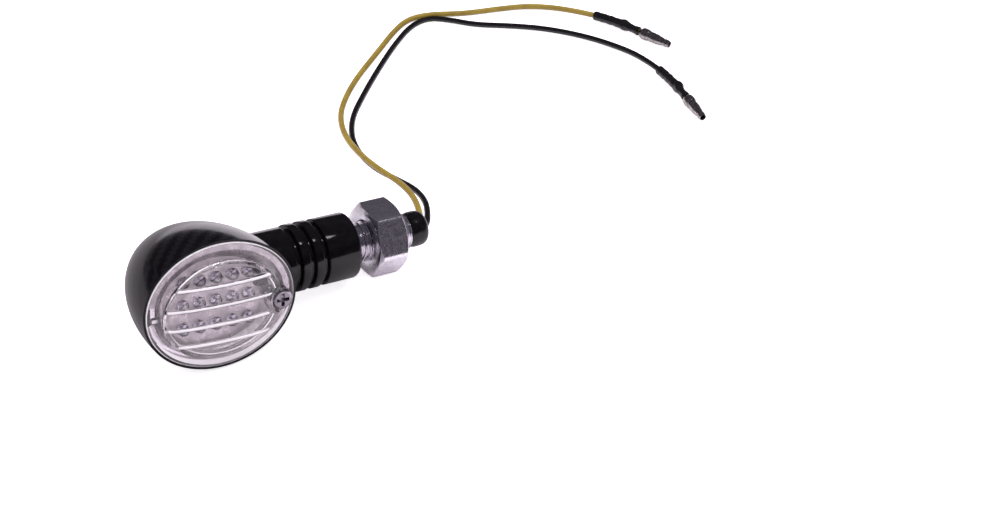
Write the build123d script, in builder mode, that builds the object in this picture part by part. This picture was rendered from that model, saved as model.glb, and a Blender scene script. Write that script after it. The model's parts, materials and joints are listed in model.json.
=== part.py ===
"""Turn signal indicator for a motorcycle, lying on a table as it comes out of its bag.

An oval lamp head sits on a grooved rubber stem. A hollow threaded stud comes out of the
stem's shoulder and carries a hex nut, and two wires leave through the plug in its end.

Millimetres. +Z is up and the table is z = 0. +X is the stud's heading over the table. The
origin lies on the table, under the middle of the lamp without its wires. The lamp rests on
the belly of its head and on the far lower edge of its nut.
"""

import os
from math import cos, radians, sin, tan

from build123d import *

# ---- how the lamp lies -------------------------------------------------------------------
stem_dip = 7.03  # degrees that the stud points down
head_roll = 9.19  # degrees that the lens looks up
lens_cant = 2.25  # degrees that the stem end of the lens hangs below the stem's line
shoulder_x = 19.33
shoulder_y = 0.31

# ---- stud and nut, M10 -------------------------------------------------------------------
stud_diameter = 10.0
stud_bore = 6.0
stud_length = 16.2  # outside the rubber
stud_root = 7.0  # moulded into the rubber
stud_flange_width = 1.5  # round the stud
stud_flange_thickness = 1.6
stud_chamfer = 0.8
nut_width = 17.0  # across flats
nut_height = 8.0
nut_gap = 4.56  # from the shoulder to the nut as it is left on the stud
nut_clearance = 0.05  # radial
nut_chamfer_angle = 30.0

# ---- rubber stem -------------------------------------------------------------------------
collar_diameter = 16.65
collar_length = 9.15
shoulder_round = 0.9
neck_diameter = 16.4
ring_diameter = 16.9
groove_diameter = 14.2
groove_width = 1.3
groove_pitch = 3.65
groove_count = 3
spigot_diameter = 11.0
spigot_length = 5.5  # past the pad inside the housing
spigot_clearance = 0.05
neck_gap = 0.05  # between the neck and the housing that it butts against

# ---- lamp head ---------------------------------------------------------------------------
head_offset = 41.35  # from the shoulder back to the middle of the lens
stem_depth = 14.4  # from the rim's front plane back to the stem's axis
lens_length = 38.0
lens_height = 31.7
lens_edge = 1.6
lens_proud = 0.3  # the flange stands this far in front of the rim
lens_clearance = 0.1
rim_lip = 0.55
rim_band = 0.8  # straight part of the rim before the egg begins
housing_depth = 32.5
housing_wall = 2.0
seat_width = 1.45  # ledge under the gasket
gasket_width = 0.7
gasket_thickness = 0.4

# ---- lens --------------------------------------------------------------------------------
dome_margin = 3.6  # width of the flat flange round the dome
dome_step = 0.8
dome_rise = 2.4
dome_wall = 1.4
flute_pitch = 4.85
flute_count = 4
flute_drop = 0.2  # the flutes' middle below the middle of the lens
flute_width = 1.1
flute_rise = 0.3
flute_margin = 1.0  # the flutes stop this far inside the dome's edge
flute_gap = 0.4  # and this far from the screw's cup
hook_width = 4.0
hook_thickness = 1.2
hook_length = 3.8
hook_nib = 0.8
hook_nib_height = 1.0
hook_clearance = 0.15
hook_gap = 0.5  # from the housing's inner wall to the hook

# ---- lens screw and its recess -----------------------------------------------------------
screw_x = 15.5
screw_y = -1.2
screw_diameter = 2.6
screw_reach = 7.5  # from the rim's front plane to the tip
screw_head_diameter = 5.4
screw_head_height = 1.7
screw_hole_clearance = 0.15
thread_clearance = 0.03
cross_width = 0.9
cross_length = 3.3
cross_depth = 1.0
recess_margin = 0.5  # round the screw's head
recess_wall = 0.8
recess_sink = 0.4  # floor of the recess below the flange's front
post_wall = 1.3
post_depth = 9.5

# ---- reflector, board and lamps ----------------------------------------------------------
reflector_wall = 0.8
reflector_rim = 1.4
reflector_rim_thickness = 0.35
reflector_clearance = 0.2
reflector_floor = 3.4  # depth of the floor's front behind the rim's front plane
reflector_slope = 2.6  # how much narrower the floor is than the mouth
led_columns = 5
led_rows = 3
led_pitch_x = 4.2
led_pitch_y = 6.0
led_diameter = 3.0
led_height = 4.6
led_collar_width = 0.4
led_collar_height = 1.0
led_hole_clearance = 0.1
lead_diameter = 0.5
lead_pitch = 2.54
lead_tail = 0.7
lead_hole_clearance = 0.05
board_depth = 6.0
board_thickness = 1.2
board_margin = (2.05, 2.0)  # inside the housing's wall, along and up
board_flat = 11.7  # straight edge on the stem's side
solder_diameter = 1.4
solder_height = 0.6
resistor_diameter = 1.8
resistor_length = 3.4
diode_diameter = 2.2
diode_length = 4.0
part_gap = 0.05  # between the board and what lies on its back
board_screw_diameter = 1.6
board_screw_head = 3.0
board_screw_head_height = 1.0
board_screw_x = -12.2
board_screw_y = 3.6
board_post_wall = 0.9

# ---- stem retention ----------------------------------------------------------------------
pad_x = 12.05  # flat face inside the housing, from the middle of the lens
pad_margin = 1.5  # round the spigot
clip_thickness = 1.2
clip_ledge = 0.8  # past the spigot all round
clip_groove_depth = 0.9
clip_clearance = 0.05

# ---- wires -------------------------------------------------------------------------------
wire_diameter = 1.6
wire_entry = 3.0  # depth inside the plug where the outer run of each wire begins
plug_diameter = 8.9
plug_length = 5.3
plug_neck_length = 5.0
plug_round = 1.6
sleeve_wall = 0.55
bulge_wall = 0.9
bulge_length = 4.4
bulge_inset = 0.7  # from the sleeve's end to the bulge
terminal_diameter = 3.0
terminal_length = 10.8
terminal_bore = 2.0
terminal_neck = 1.2  # crimp between the sleeve and the barrel
terminal_back = 1.2
terminal_seam = 0.25
lock_hole_diameter = 1.3
lock_hole_at = 2.2

# ---- worked out from the above -----------------------------------------------------------
nut_far = nut_gap + nut_height
shoulder_z = nut_far * sin(radians(stem_dip)) + nut_width / 2 * cos(radians(stem_dip))
shoulder = Vector(shoulder_x, shoulder_y, shoulder_z)
stem_dir = Vector(1, 0, 0).rotate(Axis.Y, stem_dip)
lens_dir = Vector(0, -1, 0).rotate(Axis.X, -head_roll).rotate(Axis.Y, stem_dip)
stem_axis = Axis(shoulder, stem_dir)

# Side plane: X along the stud from the shoulder, Y up the lamp, Z towards the lens.
side = Plane(shoulder, x_dir=stem_dir, z_dir=lens_dir)
# Front plane: the housing's rim, with X towards the stem, Y up the lamp and Z out of it.
front = Plane(side.from_local_coords((-head_offset, 0, stem_depth)),
              x_dir=stem_dir.rotate(Axis((0, 0, 0), lens_dir), -lens_cant), z_dir=lens_dir)


def across(distance, x_dir=None):
    """Plane square to the stem at a distance from the shoulder, with Z along the stud."""
    return Plane(shoulder + stem_dir * distance, x_dir=x_dir or side.z_dir * -1, z_dir=stem_dir)


lens_half = (lens_length / 2, lens_height / 2)
dome_half = tuple(half - dome_margin for half in lens_half)
dome_inner_half = tuple(half - dome_wall for half in dome_half)
rebate_half = tuple(half + lens_clearance for half in lens_half)
rim_half = tuple(half + rim_lip for half in rebate_half)
cavity_half = tuple(half - seat_width for half in rebate_half)
gasket_outer_half = tuple(half - lens_clearance for half in rebate_half)
gasket_inner_half = tuple(half - gasket_width for half in gasket_outer_half)
reflector_rim_half = tuple(half - lens_clearance for half in gasket_inner_half)
mouth_half = tuple(half - reflector_rim for half in reflector_rim_half)
floor_half = tuple(half - reflector_slope for half in mouth_half)

lens_back = lens_edge - lens_proud  # depth of the flange's back
seat_depth = lens_back + gasket_thickness
recess_floor = lens_proud - recess_sink
screw_at = (screw_x, screw_y)
led_grid = GridLocations(led_pitch_x, led_pitch_y, led_columns, led_rows)
pad_diameter = spigot_diameter + 2 * pad_margin
clip_diameter = spigot_diameter + 2 * clip_ledge
clip_groove_diameter = spigot_diameter - 2 * clip_groove_depth
recess_diameter = screw_head_diameter + 2 * recess_margin
post_diameter = screw_diameter + 2 * post_wall
board_half = tuple(half - margin for half, margin in zip(cavity_half, board_margin))
board_back = board_depth + board_thickness
board_screw_places = [(board_screw_x, board_screw_y), (board_screw_x, -board_screw_y)]
wire_joint_x = -led_pitch_x / 2
wire_joint_y = led_pitch_y / 2
pad_at = pad_x - head_offset  # the same face, from the shoulder
spigot_end = pad_at - spigot_length
groove_centres = [-collar_length - groove_width / 2 - i * groove_pitch for i in range(groove_count)]
plug_end = stud_length + plug_length
hook_x = cavity_half[0] - hook_gap  # the hook's outer face
hook_end = lens_back + hook_length

os.makedirs("parts", exist_ok=True)


def write(piece, name):
    """Label a finished piece and write its file."""
    piece.part.label = name
    export_step(piece.part, f"parts/{name}.step")


def half_egg(half, depth, keep):
    """Half of an ellipsoid at the origin, above the XY plane or below it."""
    with BuildPart(mode=Mode.PRIVATE) as ball:
        Sphere(1, rotation=(0, 0, 180))
        scale(by=(half[0], half[1], depth))
        split(bisect_by=Plane.XY, keep=keep)
    return ball.part


def bowl(half, depth):
    """Solid half egg that hangs behind the rim's front plane by a short straight band."""
    egg = half_egg(half, depth - rim_band, Keep.BOTTOM)
    with BuildPart(mode=Mode.PRIVATE) as solid:
        with BuildSketch(front.offset(-rim_band)):
            Ellipse(*half)
        extrude(amount=rim_band)
        with Locations(front.offset(-rim_band)):
            add(egg)
    return solid.part


def button(plane, half, height, rise):
    """Solid oval that stands on a plane, straight sided and then domed."""
    top = half_egg(half, rise, Keep.TOP)
    with BuildPart(mode=Mode.PRIVATE) as solid:
        with BuildSketch(plane):
            Ellipse(*half)
        extrude(amount=height)
        with Locations(plane.offset(height)):
            add(top)
    return solid.part


def pin(plane, at, diameter, length):
    """Solid round bar from a plane."""
    with BuildPart(mode=Mode.PRIVATE) as bar:
        with BuildSketch(plane):
            with Locations(at):
                Circle(diameter / 2)
        extrude(amount=length)
    return bar.part


# ---- housing: half an egg with a lipped rim, hollow, open in front -----------------------
housing_solid = bowl(rim_half, housing_depth)
housing_cavity = bowl(cavity_half, housing_depth - housing_wall)

with BuildPart() as bosses:
    add(pin(front.offset(-post_depth), screw_at, post_diameter, post_depth - lens_back))
    add(pin(across(pad_at), (0, 0), pad_diameter, lens_length / 2))
    add(housing_solid, mode=Mode.INTERSECT)

with BuildPart() as housing:
    add(housing_solid)
    add(housing_cavity, mode=Mode.SUBTRACT)
    with BuildSketch(front.offset(-seat_depth)):
        Ellipse(*rebate_half)
    extrude(amount=seat_depth, mode=Mode.SUBTRACT)
    add(bosses.part)
    add(pin(across(pad_at), (0, 0), spigot_diameter + 2 * spigot_clearance, lens_length / 2),
        mode=Mode.SUBTRACT)
    add(pin(front.offset(-screw_reach - part_gap), screw_at, screw_diameter + 2 * thread_clearance,
            screw_reach), mode=Mode.SUBTRACT)
    with BuildSketch(front.offset(-hook_end - hook_clearance)):
        with Locations((-hook_x, 0)):
            Rectangle(2 * (hook_nib + hook_clearance), hook_width + 2 * hook_clearance)
    extrude(amount=hook_nib_height + 2 * hook_clearance, mode=Mode.SUBTRACT)
write(housing, "housing")

# ---- lens gasket -------------------------------------------------------------------------
with BuildPart() as lens_gasket:
    with BuildSketch(front.offset(-seat_depth)):
        Ellipse(*gasket_outer_half)
        Ellipse(*gasket_inner_half, mode=Mode.SUBTRACT)
    extrude(amount=gasket_thickness)
write(lens_gasket, "lens_gasket")

# ---- lens: flange, fluted dome, cup for the screw, hook ----------------------------------
lens_front = front.offset(lens_proud)
dome_height = dome_step + dome_rise
dome_outer = button(lens_front, dome_half, dome_step, dome_rise)

with BuildPart() as flutes:
    add(button(lens_front, dome_half, dome_step, dome_rise + flute_rise))
    with BuildSketch(lens_front):
        with Locations((0, -flute_drop)):
            with GridLocations(0, flute_pitch, 1, flute_count):
                Rectangle(2 * dome_inner_half[0], flute_width)
        Ellipse(*(half - flute_margin for half in dome_half), mode=Mode.INTERSECT)
        with Locations(screw_at):
            Circle(recess_diameter / 2 + recess_wall + flute_gap, mode=Mode.SUBTRACT)
    extrude(amount=dome_height + flute_rise, mode=Mode.INTERSECT)

with BuildPart() as screw_cup:
    add(dome_outer)
    add(pin(lens_front, screw_at, recess_diameter + 2 * recess_wall, dome_height),
        mode=Mode.INTERSECT)

with BuildPart() as lens:
    with BuildSketch(front.offset(-lens_back)):
        Ellipse(*lens_half)
    extrude(amount=lens_edge)
    add(dome_outer)
    add(flutes.part)
    with BuildSketch(front.offset(-lens_back)):
        Ellipse(*dome_inner_half)
    extrude(amount=lens_edge, mode=Mode.SUBTRACT)
    add(button(lens_front, dome_inner_half, 0.1, dome_height - dome_wall), mode=Mode.SUBTRACT)
    add(screw_cup.part)
    with BuildSketch(front.offset(-lens_back)):
        with Locations(screw_at):
            Circle(recess_diameter / 2 + recess_wall)
        Ellipse(*lens_half, mode=Mode.INTERSECT)
    extrude(amount=lens_edge)
    add(pin(front.offset(recess_floor), screw_at, recess_diameter, dome_height), mode=Mode.SUBTRACT)
    add(pin(front.offset(-lens_back), screw_at, screw_diameter + 2 * screw_hole_clearance,
            lens_edge), mode=Mode.SUBTRACT)
    with BuildSketch(front.offset(-hook_end)):
        with Locations((hook_thickness / 2 - hook_x, 0)):
            Rectangle(hook_thickness, hook_width)
    extrude(amount=hook_length)
    with BuildSketch(front.offset(-hook_end)):
        with Locations((-hook_x, 0)):
            Rectangle(2 * hook_nib, hook_width)
    extrude(amount=hook_nib_height)
write(lens, "lens")

# ---- lens screw: pan head with a cross ---------------------------------------------------
with BuildPart() as lens_screw:
    with BuildSketch(front.offset(recess_floor)):
        with Locations(screw_at):
            Circle(screw_head_diameter / 2)
    extrude(amount=screw_head_height)
    fillet(lens_screw.faces().sort_by(Axis(front.origin, front.z_dir))[-1].edges(), 0.8)
    with BuildSketch(front.offset(recess_floor + screw_head_height - cross_depth)):
        with Locations(screw_at):
            Rectangle(cross_length, cross_width)
            Rectangle(cross_width, cross_length)
    extrude(amount=cross_depth, mode=Mode.SUBTRACT)
    add(pin(front.offset(-screw_reach), screw_at, screw_diameter, screw_reach + recess_floor))
write(lens_screw, "lens_screw")

# ---- reflector: silvered pan, pierced for the lamps --------------------------------------
with BuildPart() as reflector:
    with BuildSketch(front.offset(-seat_depth)):
        Ellipse(*reflector_rim_half)
    extrude(amount=reflector_rim_thickness)
    with BuildSketch(front.offset(-seat_depth)):
        Ellipse(*(half + reflector_wall for half in mouth_half))
    with BuildSketch(front.offset(-reflector_floor - reflector_wall)):
        Ellipse(*(half + reflector_wall for half in floor_half))
    loft(ruled=True)
    with BuildSketch(front.offset(-seat_depth + reflector_rim_thickness)):
        Ellipse(*mouth_half)
    with BuildSketch(front.offset(-reflector_floor)):
        Ellipse(*floor_half)
    loft(ruled=True, mode=Mode.SUBTRACT)
    with BuildSketch(front.offset(-board_depth)):
        with led_grid:
            Circle(led_diameter / 2 + led_hole_clearance)
        with Locations(screw_at):
            Circle(post_diameter / 2 + reflector_clearance)
        with Locations((-hook_x, 0)):
            Rectangle(2 * (hook_thickness + reflector_clearance), hook_width + 2 * reflector_clearance)
    extrude(amount=board_depth, mode=Mode.SUBTRACT)
    with BuildSketch(front.offset(-board_depth)):
        with Locations(*board_screw_places):
            Circle(board_screw_diameter / 2 + board_post_wall)
            Circle(board_screw_diameter / 2 + thread_clearance, mode=Mode.SUBTRACT)
    extrude(amount=board_depth - reflector_floor - reflector_wall)
write(reflector, "reflector")

# ---- lamps and their legs ----------------------------------------------------------------
led_places = [(place.position.X, place.position.Y) for place in led_grid]
led_tip_depth = board_depth - led_height + led_diameter / 2
led_tips = [front.from_local_coords((x, y, -led_tip_depth)) for x, y in led_places]

with BuildPart() as leds:
    with BuildSketch(front.offset(-board_depth)):
        with led_grid:
            Circle(led_diameter / 2 + led_collar_width)
    extrude(amount=led_collar_height)
    with BuildSketch(front.offset(-board_depth)):
        with led_grid:
            Circle(led_diameter / 2)
    extrude(amount=led_height - led_diameter / 2)
    with Locations(*led_tips):
        Sphere(led_diameter / 2)
write(leds, "leds")

lead_steps = (-lead_pitch / 2, lead_pitch / 2)
lead_places = [(x + step, y) for x, y in led_places for step in lead_steps]
wire_joints = [(wire_joint_x, wire_joint_y), (wire_joint_x, -wire_joint_y)]
lead_length = board_thickness + lead_tail

with BuildPart() as led_leads:
    with BuildSketch(front.offset(-board_depth - lead_length)):
        with Locations(*lead_places):
            Circle(lead_diameter / 2)
    extrude(amount=lead_length)
write(led_leads, "led_leads")

# ---- circuit board and what is soldered to its back --------------------------------------
with BuildPart() as led_board:
    with BuildSketch(front.offset(-board_back)):
        Ellipse(*board_half)
        with Locations((board_flat + board_half[0], 0)):
            Rectangle(2 * board_half[0], 2 * board_half[1], mode=Mode.SUBTRACT)
        with Locations(*lead_places):
            Circle(lead_diameter / 2 + lead_hole_clearance, mode=Mode.SUBTRACT)
        with Locations(*board_screw_places):
            Circle(board_screw_diameter / 2 + lead_hole_clearance, mode=Mode.SUBTRACT)
    extrude(amount=board_thickness)
write(led_board, "led_board")

with BuildPart() as solder_joints:
    with BuildSketch(front.offset(-board_back - solder_height)):
        with Locations(*lead_places):
            Circle(solder_diameter / 2)
        with Locations(*wire_joints):
            Circle(wire_diameter / 2 + solder_height)
    extrude(amount=solder_height)
    chamfer(solder_joints.faces().sort_by(Axis(front.origin, front.z_dir))[: len(lead_places) + 2]
            .edges(), solder_height / 2)
    with BuildSketch(front.offset(-board_back - solder_height)):
        with Locations(*lead_places):
            Circle(lead_diameter / 2)
        with Locations(*wire_joints):
            Circle(wire_diameter / 2)
    extrude(amount=solder_height, mode=Mode.SUBTRACT)
write(solder_joints, "solder_joints")

resistor_row = front.offset(-board_back - part_gap - resistor_diameter / 2)
with BuildPart() as resistors:
    with Locations(resistor_row):
        for place in ((-1.5, 1), (-1.5, -1), (1.0, -1)):
            with Locations((place[0] * led_pitch_x, place[1] * led_pitch_y / 2)):
                Cylinder(resistor_diameter / 2, resistor_length, rotation=(0, 90, 0))
write(resistors, "resistors")

with BuildPart() as diode:
    with Locations(front.offset(-board_back - part_gap - diode_diameter / 2)):
        with Locations((led_pitch_x, led_pitch_y / 2)):
            Cylinder(diode_diameter / 2, diode_length, rotation=(0, 90, 0))
write(diode, "diode")

# Self-tapping screws go through the board into posts behind the reflector.
with BuildPart() as board_screws:
    with BuildSketch(front.offset(-board_back - board_screw_head_height)):
        with Locations(*board_screw_places):
            Circle(board_screw_head / 2)
    extrude(amount=board_screw_head_height)
    with BuildSketch(front.offset(-board_back)):
        with Locations(*board_screw_places):
            Circle(board_screw_diameter / 2)
    extrude(amount=board_back - reflector_floor - reflector_wall)
write(board_screws, "board_screws")

# ---- stud: hollow threaded bar with a flange that the rubber holds -----------------------
with BuildPart() as stud:
    with BuildSketch(across(-stud_root)):
        Circle(stud_diameter / 2)
    extrude(amount=stud_root + stud_length)
    chamfer(stud.faces().sort_by(stem_axis)[-1].edges(), stud_chamfer)
    with BuildSketch(across(-stud_root)):
        Circle(stud_diameter / 2 + stud_flange_width)
    extrude(amount=stud_flange_thickness)
    stud_solid = stud.part
    with BuildSketch(across(-stud_root)):
        Circle(stud_bore / 2)
    extrude(amount=stud_root + stud_length, mode=Mode.SUBTRACT)
write(stud, "stud")

# ---- hex nut, its flats level ------------------------------------------------------------
nut_plane = across(nut_gap, Vector(0, 1, 0))
corner = nut_width / 2 / cos(radians(30))
corner_cut = (corner - nut_width / 2) * tan(radians(nut_chamfer_angle))
with BuildPart() as hex_nut:
    with BuildSketch(nut_plane):
        RegularPolygon(nut_width / 2, 6, major_radius=False)
        Circle(stud_diameter / 2 + nut_clearance, mode=Mode.SUBTRACT)
    extrude(amount=nut_height)
    with BuildSketch(side):
        with BuildLine():
            Polyline((nut_gap, 0), (nut_gap, nut_width / 2), (nut_gap + corner_cut, corner),
                     (nut_far - corner_cut, corner), (nut_far, nut_width / 2), (nut_far, 0), close=True)
        make_face()
    revolve(axis=stem_axis, mode=Mode.INTERSECT)
write(hex_nut, "hex_nut")

# ---- rubber stem: neck, grooves and collar, with a spigot into the housing ---------------
with BuildPart() as rubber_stem:
    with BuildSketch(across(pad_at)):
        Circle(neck_diameter / 2)
    extrude(amount=-pad_at - collar_length)
    add(bowl(tuple(half + neck_gap for half in rim_half), housing_depth + neck_gap), mode=Mode.SUBTRACT)
    with BuildSketch(across(groove_centres[-1])):
        Circle(ring_diameter / 2)
    extrude(amount=groove_centres[0] - groove_centres[-1])
    with BuildSketch(across(-collar_length)):
        Circle(collar_diameter / 2)
    extrude(amount=collar_length)
    fillet(rubber_stem.faces().sort_by(stem_axis)[-1].edges(), shoulder_round)
    for centre in groove_centres:
        with BuildSketch(across(centre - groove_width / 2)):
            Circle(collar_diameter)
            Circle(groove_diameter / 2, mode=Mode.SUBTRACT)
        extrude(amount=groove_width, mode=Mode.SUBTRACT)
    with BuildSketch(across(spigot_end)):
        Circle(spigot_diameter / 2)
    extrude(amount=groove_centres[0] - spigot_end)
    clip_seat = pad_at - clip_thickness - clip_clearance
    with BuildSketch(across(clip_seat)):
        Circle(spigot_diameter)
        Circle(clip_groove_diameter / 2, mode=Mode.SUBTRACT)
    extrude(amount=clip_thickness + clip_clearance, mode=Mode.SUBTRACT)
    with BuildSketch(across(spigot_end)):
        Circle(stud_bore / 2)
    extrude(amount=-spigot_end, mode=Mode.SUBTRACT)
    add(stud_solid, mode=Mode.SUBTRACT)
write(rubber_stem, "rubber_stem")

with BuildPart() as retaining_clip:
    with BuildSketch(across(clip_seat + clip_clearance)):
        Circle(clip_diameter / 2)
        Circle(clip_groove_diameter / 2 + clip_clearance, mode=Mode.SUBTRACT)
        with Locations((0, -clip_diameter / 2)):
            Rectangle(clip_groove_diameter * 0.8, clip_diameter, mode=Mode.SUBTRACT)
    extrude(amount=clip_thickness - clip_clearance)
write(retaining_clip, "retaining_clip")

# ---- wires -------------------------------------------------------------------------------
def corner_radii(points):
    """Radius for each inner point of a route: 0.45 of its shorter run over tan(half turn)."""
    radii = []
    for before, at, after in zip(points, points[1:], points[2:]):
        run_in = at - before
        run_out = after - at
        half_turn = radians(run_in.get_angle(run_out)) / 2
        radii.append(0.45 * min(run_in.length, run_out.length) / tan(half_turn))
    return radii


def tube(points, diameter, radii, bore=0.0):
    """Round tube along a route of straight runs joined by arcs."""
    with BuildPart(mode=Mode.PRIVATE) as hose:
        with BuildLine() as route:
            FilletPolyline(*points, radius=radii)
        with BuildSketch(Plane(points[0], z_dir=points[1] - points[0])):
            Circle(diameter / 2)
            if bore:
                Circle(bore / 2, mode=Mode.SUBTRACT)
        sweep()
    length = sum(edge.length for edge in route.edges())
    return hose.part, length


# Each wire lies in the plug at its own place, across and up from the stem's axis, turns
# towards its exit at an elbow measured from the plug's end face, and then follows its own
# route over the table to the end inside its sleeve.
entries = {"yellow": (-0.8, 0.9), "black": (0.1, -0.9)}
elbows = {"yellow": -0.7, "black": 1.2}
routes = {
    "yellow": [
        (43.6, 8.4, 8.0), (44.9, 14.6, 7.5), (45.1, 22.0, 6.6), (44.0, 30.6, 5.5),
        (43.9, 40.5, 4.2), (45.1, 51.3, 3.0), (48.9, 61.8, 2.0), (55.3, 70.6, 1.2),
        (63.4, 78.6, 0.8), (74.2, 86.9, 0.8), (84.3, 94.9, 0.8), (90.8, 98.2, 0.8),
        (97.3, 97.2, 0.8), (106.1, 92.4, 0.8), (116.2, 89.5, 0.8), (124.7, 86.2, 0.9),
        (132.3, 79.0, 1.3), (140.6, 66.2, 1.8), (143.8, 56.7, 1.7),
    ],
    "black": [
        (45.4, 6.3, 6.8), (47.2, 11.2, 6.5), (47.9, 17.4, 5.6), (46.9, 24.8, 4.3),
        (45.1, 33.0, 3.2), (45.2, 42.4, 2.0), (47.4, 51.9, 1.1), (52.2, 61.0, 0.8),
        (60.3, 69.5, 0.8), (69.6, 78.4, 0.8), (80.4, 88.0, 0.8), (89.3, 94.5, 0.8),
        (95.7, 95.7, 0.8), (100.4, 91.9, 0.8), (105.8, 85.4, 0.8), (113.9, 80.0, 0.8),
        (121.9, 73.5, 0.8), (128.7, 65.3, 0.8), (133.6, 56.7, 0.9), (137.1, 46.0, 1.4),
        (137.6, 31.4, 1.8), (136.0, 21.7, 1.7),
    ],
}
wires = {}

for name, entry in entries.items():
    # inside the stem, from the plug to the back of the board
    joint_y = wire_joint_y if entry[1] > 0 else -wire_joint_y
    start = across(plug_end - wire_entry).from_local_coords((*entry, 0))
    inner_route = [
        start,
        across(led_pitch_x - head_offset).from_local_coords((*entry, 0)),
        front.from_local_coords((wire_joint_x, joint_y, -stem_depth + 3.0)),
        front.from_local_coords((wire_joint_x, joint_y, -board_back)),
    ]
    inner, inner_length = tube(inner_route, wire_diameter, corner_radii(inner_route))
    with BuildPart() as inner_wire:
        add(inner)
    write(inner_wire, f"{name}_wire_inner")

    # outside, over the table
    elbow = start + stem_dir * (wire_entry + elbows[name])
    route = [start, elbow] + [Vector(*point) for point in routes[name]]
    radii = corner_radii(route)
    outer, outer_length = tube(route, wire_diameter, radii)
    with BuildPart() as wire:
        add(outer)
    write(wire, f"{name}_wire")
    wires[name] = inner + outer
    section = 3.141592653589793 * wire_diameter**2 / 4
    print(name, "wire", round(outer_length, 1), "mm, inside", round(inner_length, 1), "mm")
    print("  volume over section times length", round(wire.part.volume / section / outer_length, 4))
    print("  radii", [round(radius, 1) for radius in radii])

    # sleeve from the middle of the last run but one to the wire's end, with its crimp's bulge
    sleeve_start = (route[-3] + route[-2]) / 2
    sleeve_diameter = wire_diameter + 2 * sleeve_wall
    skin, sleeve_length = tube([sleeve_start, *route[-2:]], sleeve_diameter, [radii[-1]], wire_diameter)
    heading = (route[-1] - route[-2]).normalized()
    bulge_at = Plane(route[-1] - heading * (bulge_length + bulge_inset), z_dir=heading)
    with BuildPart() as sleeve:
        add(skin)
        with BuildSketch(bulge_at):
            Circle(wire_diameter / 2 + bulge_wall)
            Circle(wire_diameter / 2, mode=Mode.SUBTRACT)
        extrude(amount=bulge_length)
        chamfer(sleeve.edges().filter_by(GeomType.CIRCLE).filter_by(
            lambda edge: abs(edge.radius - wire_diameter / 2 - bulge_wall) < 0.01), 0.3)
    write(sleeve, f"{name}_sleeve")
    print("  sleeve", round(sleeve_length, 1), "mm")

    # bullet terminal: crimped neck, rolled barrel with a seam, locking hole, open end
    neck_plane = Plane(route[-1], x_dir=heading.cross(Vector(0, 0, 1)), z_dir=heading)
    barrel_plane = neck_plane.offset(terminal_neck)
    barrel_length = terminal_length
    with BuildPart() as terminal:
        with BuildSketch(neck_plane):
            Circle(wire_diameter / 2)
        extrude(amount=terminal_neck)
        with BuildSketch(barrel_plane):
            Circle(terminal_diameter / 2)
        extrude(amount=barrel_length)
        with BuildSketch(barrel_plane.offset(terminal_back)):
            Circle(terminal_bore / 2)
        extrude(amount=barrel_length, mode=Mode.SUBTRACT)
        with BuildSketch(barrel_plane.offset(terminal_back)):
            with Locations((0, -terminal_diameter / 2)):
                Rectangle(terminal_seam, terminal_diameter)
        extrude(amount=barrel_length, mode=Mode.SUBTRACT)
        with BuildSketch(Plane(barrel_plane.from_local_coords((0, 0, lock_hole_at)),
                               z_dir=barrel_plane.y_dir)):
            Circle(lock_hole_diameter / 2)
        extrude(amount=terminal_diameter, mode=Mode.SUBTRACT)
    write(terminal, f"{name}_terminal")

# ---- end plug, moulded round the two wires -----------------------------------------------
with BuildPart() as end_plug:
    with BuildSketch(across(stud_length)):
        Circle(plug_diameter / 2)
    extrude(amount=plug_length)
    fillet(end_plug.faces().sort_by(stem_axis)[-1].edges(), plug_round)
    with BuildSketch(across(stud_length - plug_neck_length)):
        Circle(stud_bore / 2)
    extrude(amount=plug_neck_length)
    for wire_solid in wires.values():
        add(wire_solid, mode=Mode.SUBTRACT)
write(end_plug, "end_plug")
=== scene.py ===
"""Turn signal indicator for a motorcycle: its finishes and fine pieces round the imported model.

Lengths inside the classes are millimetres in the lamp's own axes. A Datum turns them into
metres in the model's frame, where +Z is up and the table is z = 0.
"""

import json
import logging
import math
from dataclasses import dataclass, field
from enum import Enum
from typing import Callable, Optional, Sequence

import bmesh
import bpy
from mathutils import Matrix, Vector


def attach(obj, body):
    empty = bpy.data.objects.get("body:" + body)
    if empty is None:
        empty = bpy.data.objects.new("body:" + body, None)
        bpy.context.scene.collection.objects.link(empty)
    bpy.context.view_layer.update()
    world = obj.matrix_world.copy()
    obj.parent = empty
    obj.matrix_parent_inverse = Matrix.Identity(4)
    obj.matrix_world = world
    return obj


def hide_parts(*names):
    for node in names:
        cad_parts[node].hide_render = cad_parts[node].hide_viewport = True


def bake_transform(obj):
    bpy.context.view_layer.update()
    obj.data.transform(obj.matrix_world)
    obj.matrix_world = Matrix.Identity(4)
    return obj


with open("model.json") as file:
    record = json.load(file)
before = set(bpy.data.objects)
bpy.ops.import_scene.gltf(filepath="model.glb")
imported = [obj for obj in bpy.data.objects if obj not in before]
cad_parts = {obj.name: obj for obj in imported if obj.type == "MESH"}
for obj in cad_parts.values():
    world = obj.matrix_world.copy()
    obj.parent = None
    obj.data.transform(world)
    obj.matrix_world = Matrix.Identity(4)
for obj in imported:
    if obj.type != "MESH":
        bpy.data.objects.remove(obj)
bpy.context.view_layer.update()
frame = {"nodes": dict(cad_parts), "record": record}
MM = 0.001
LOG = logging.getLogger("turn_signal")


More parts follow.
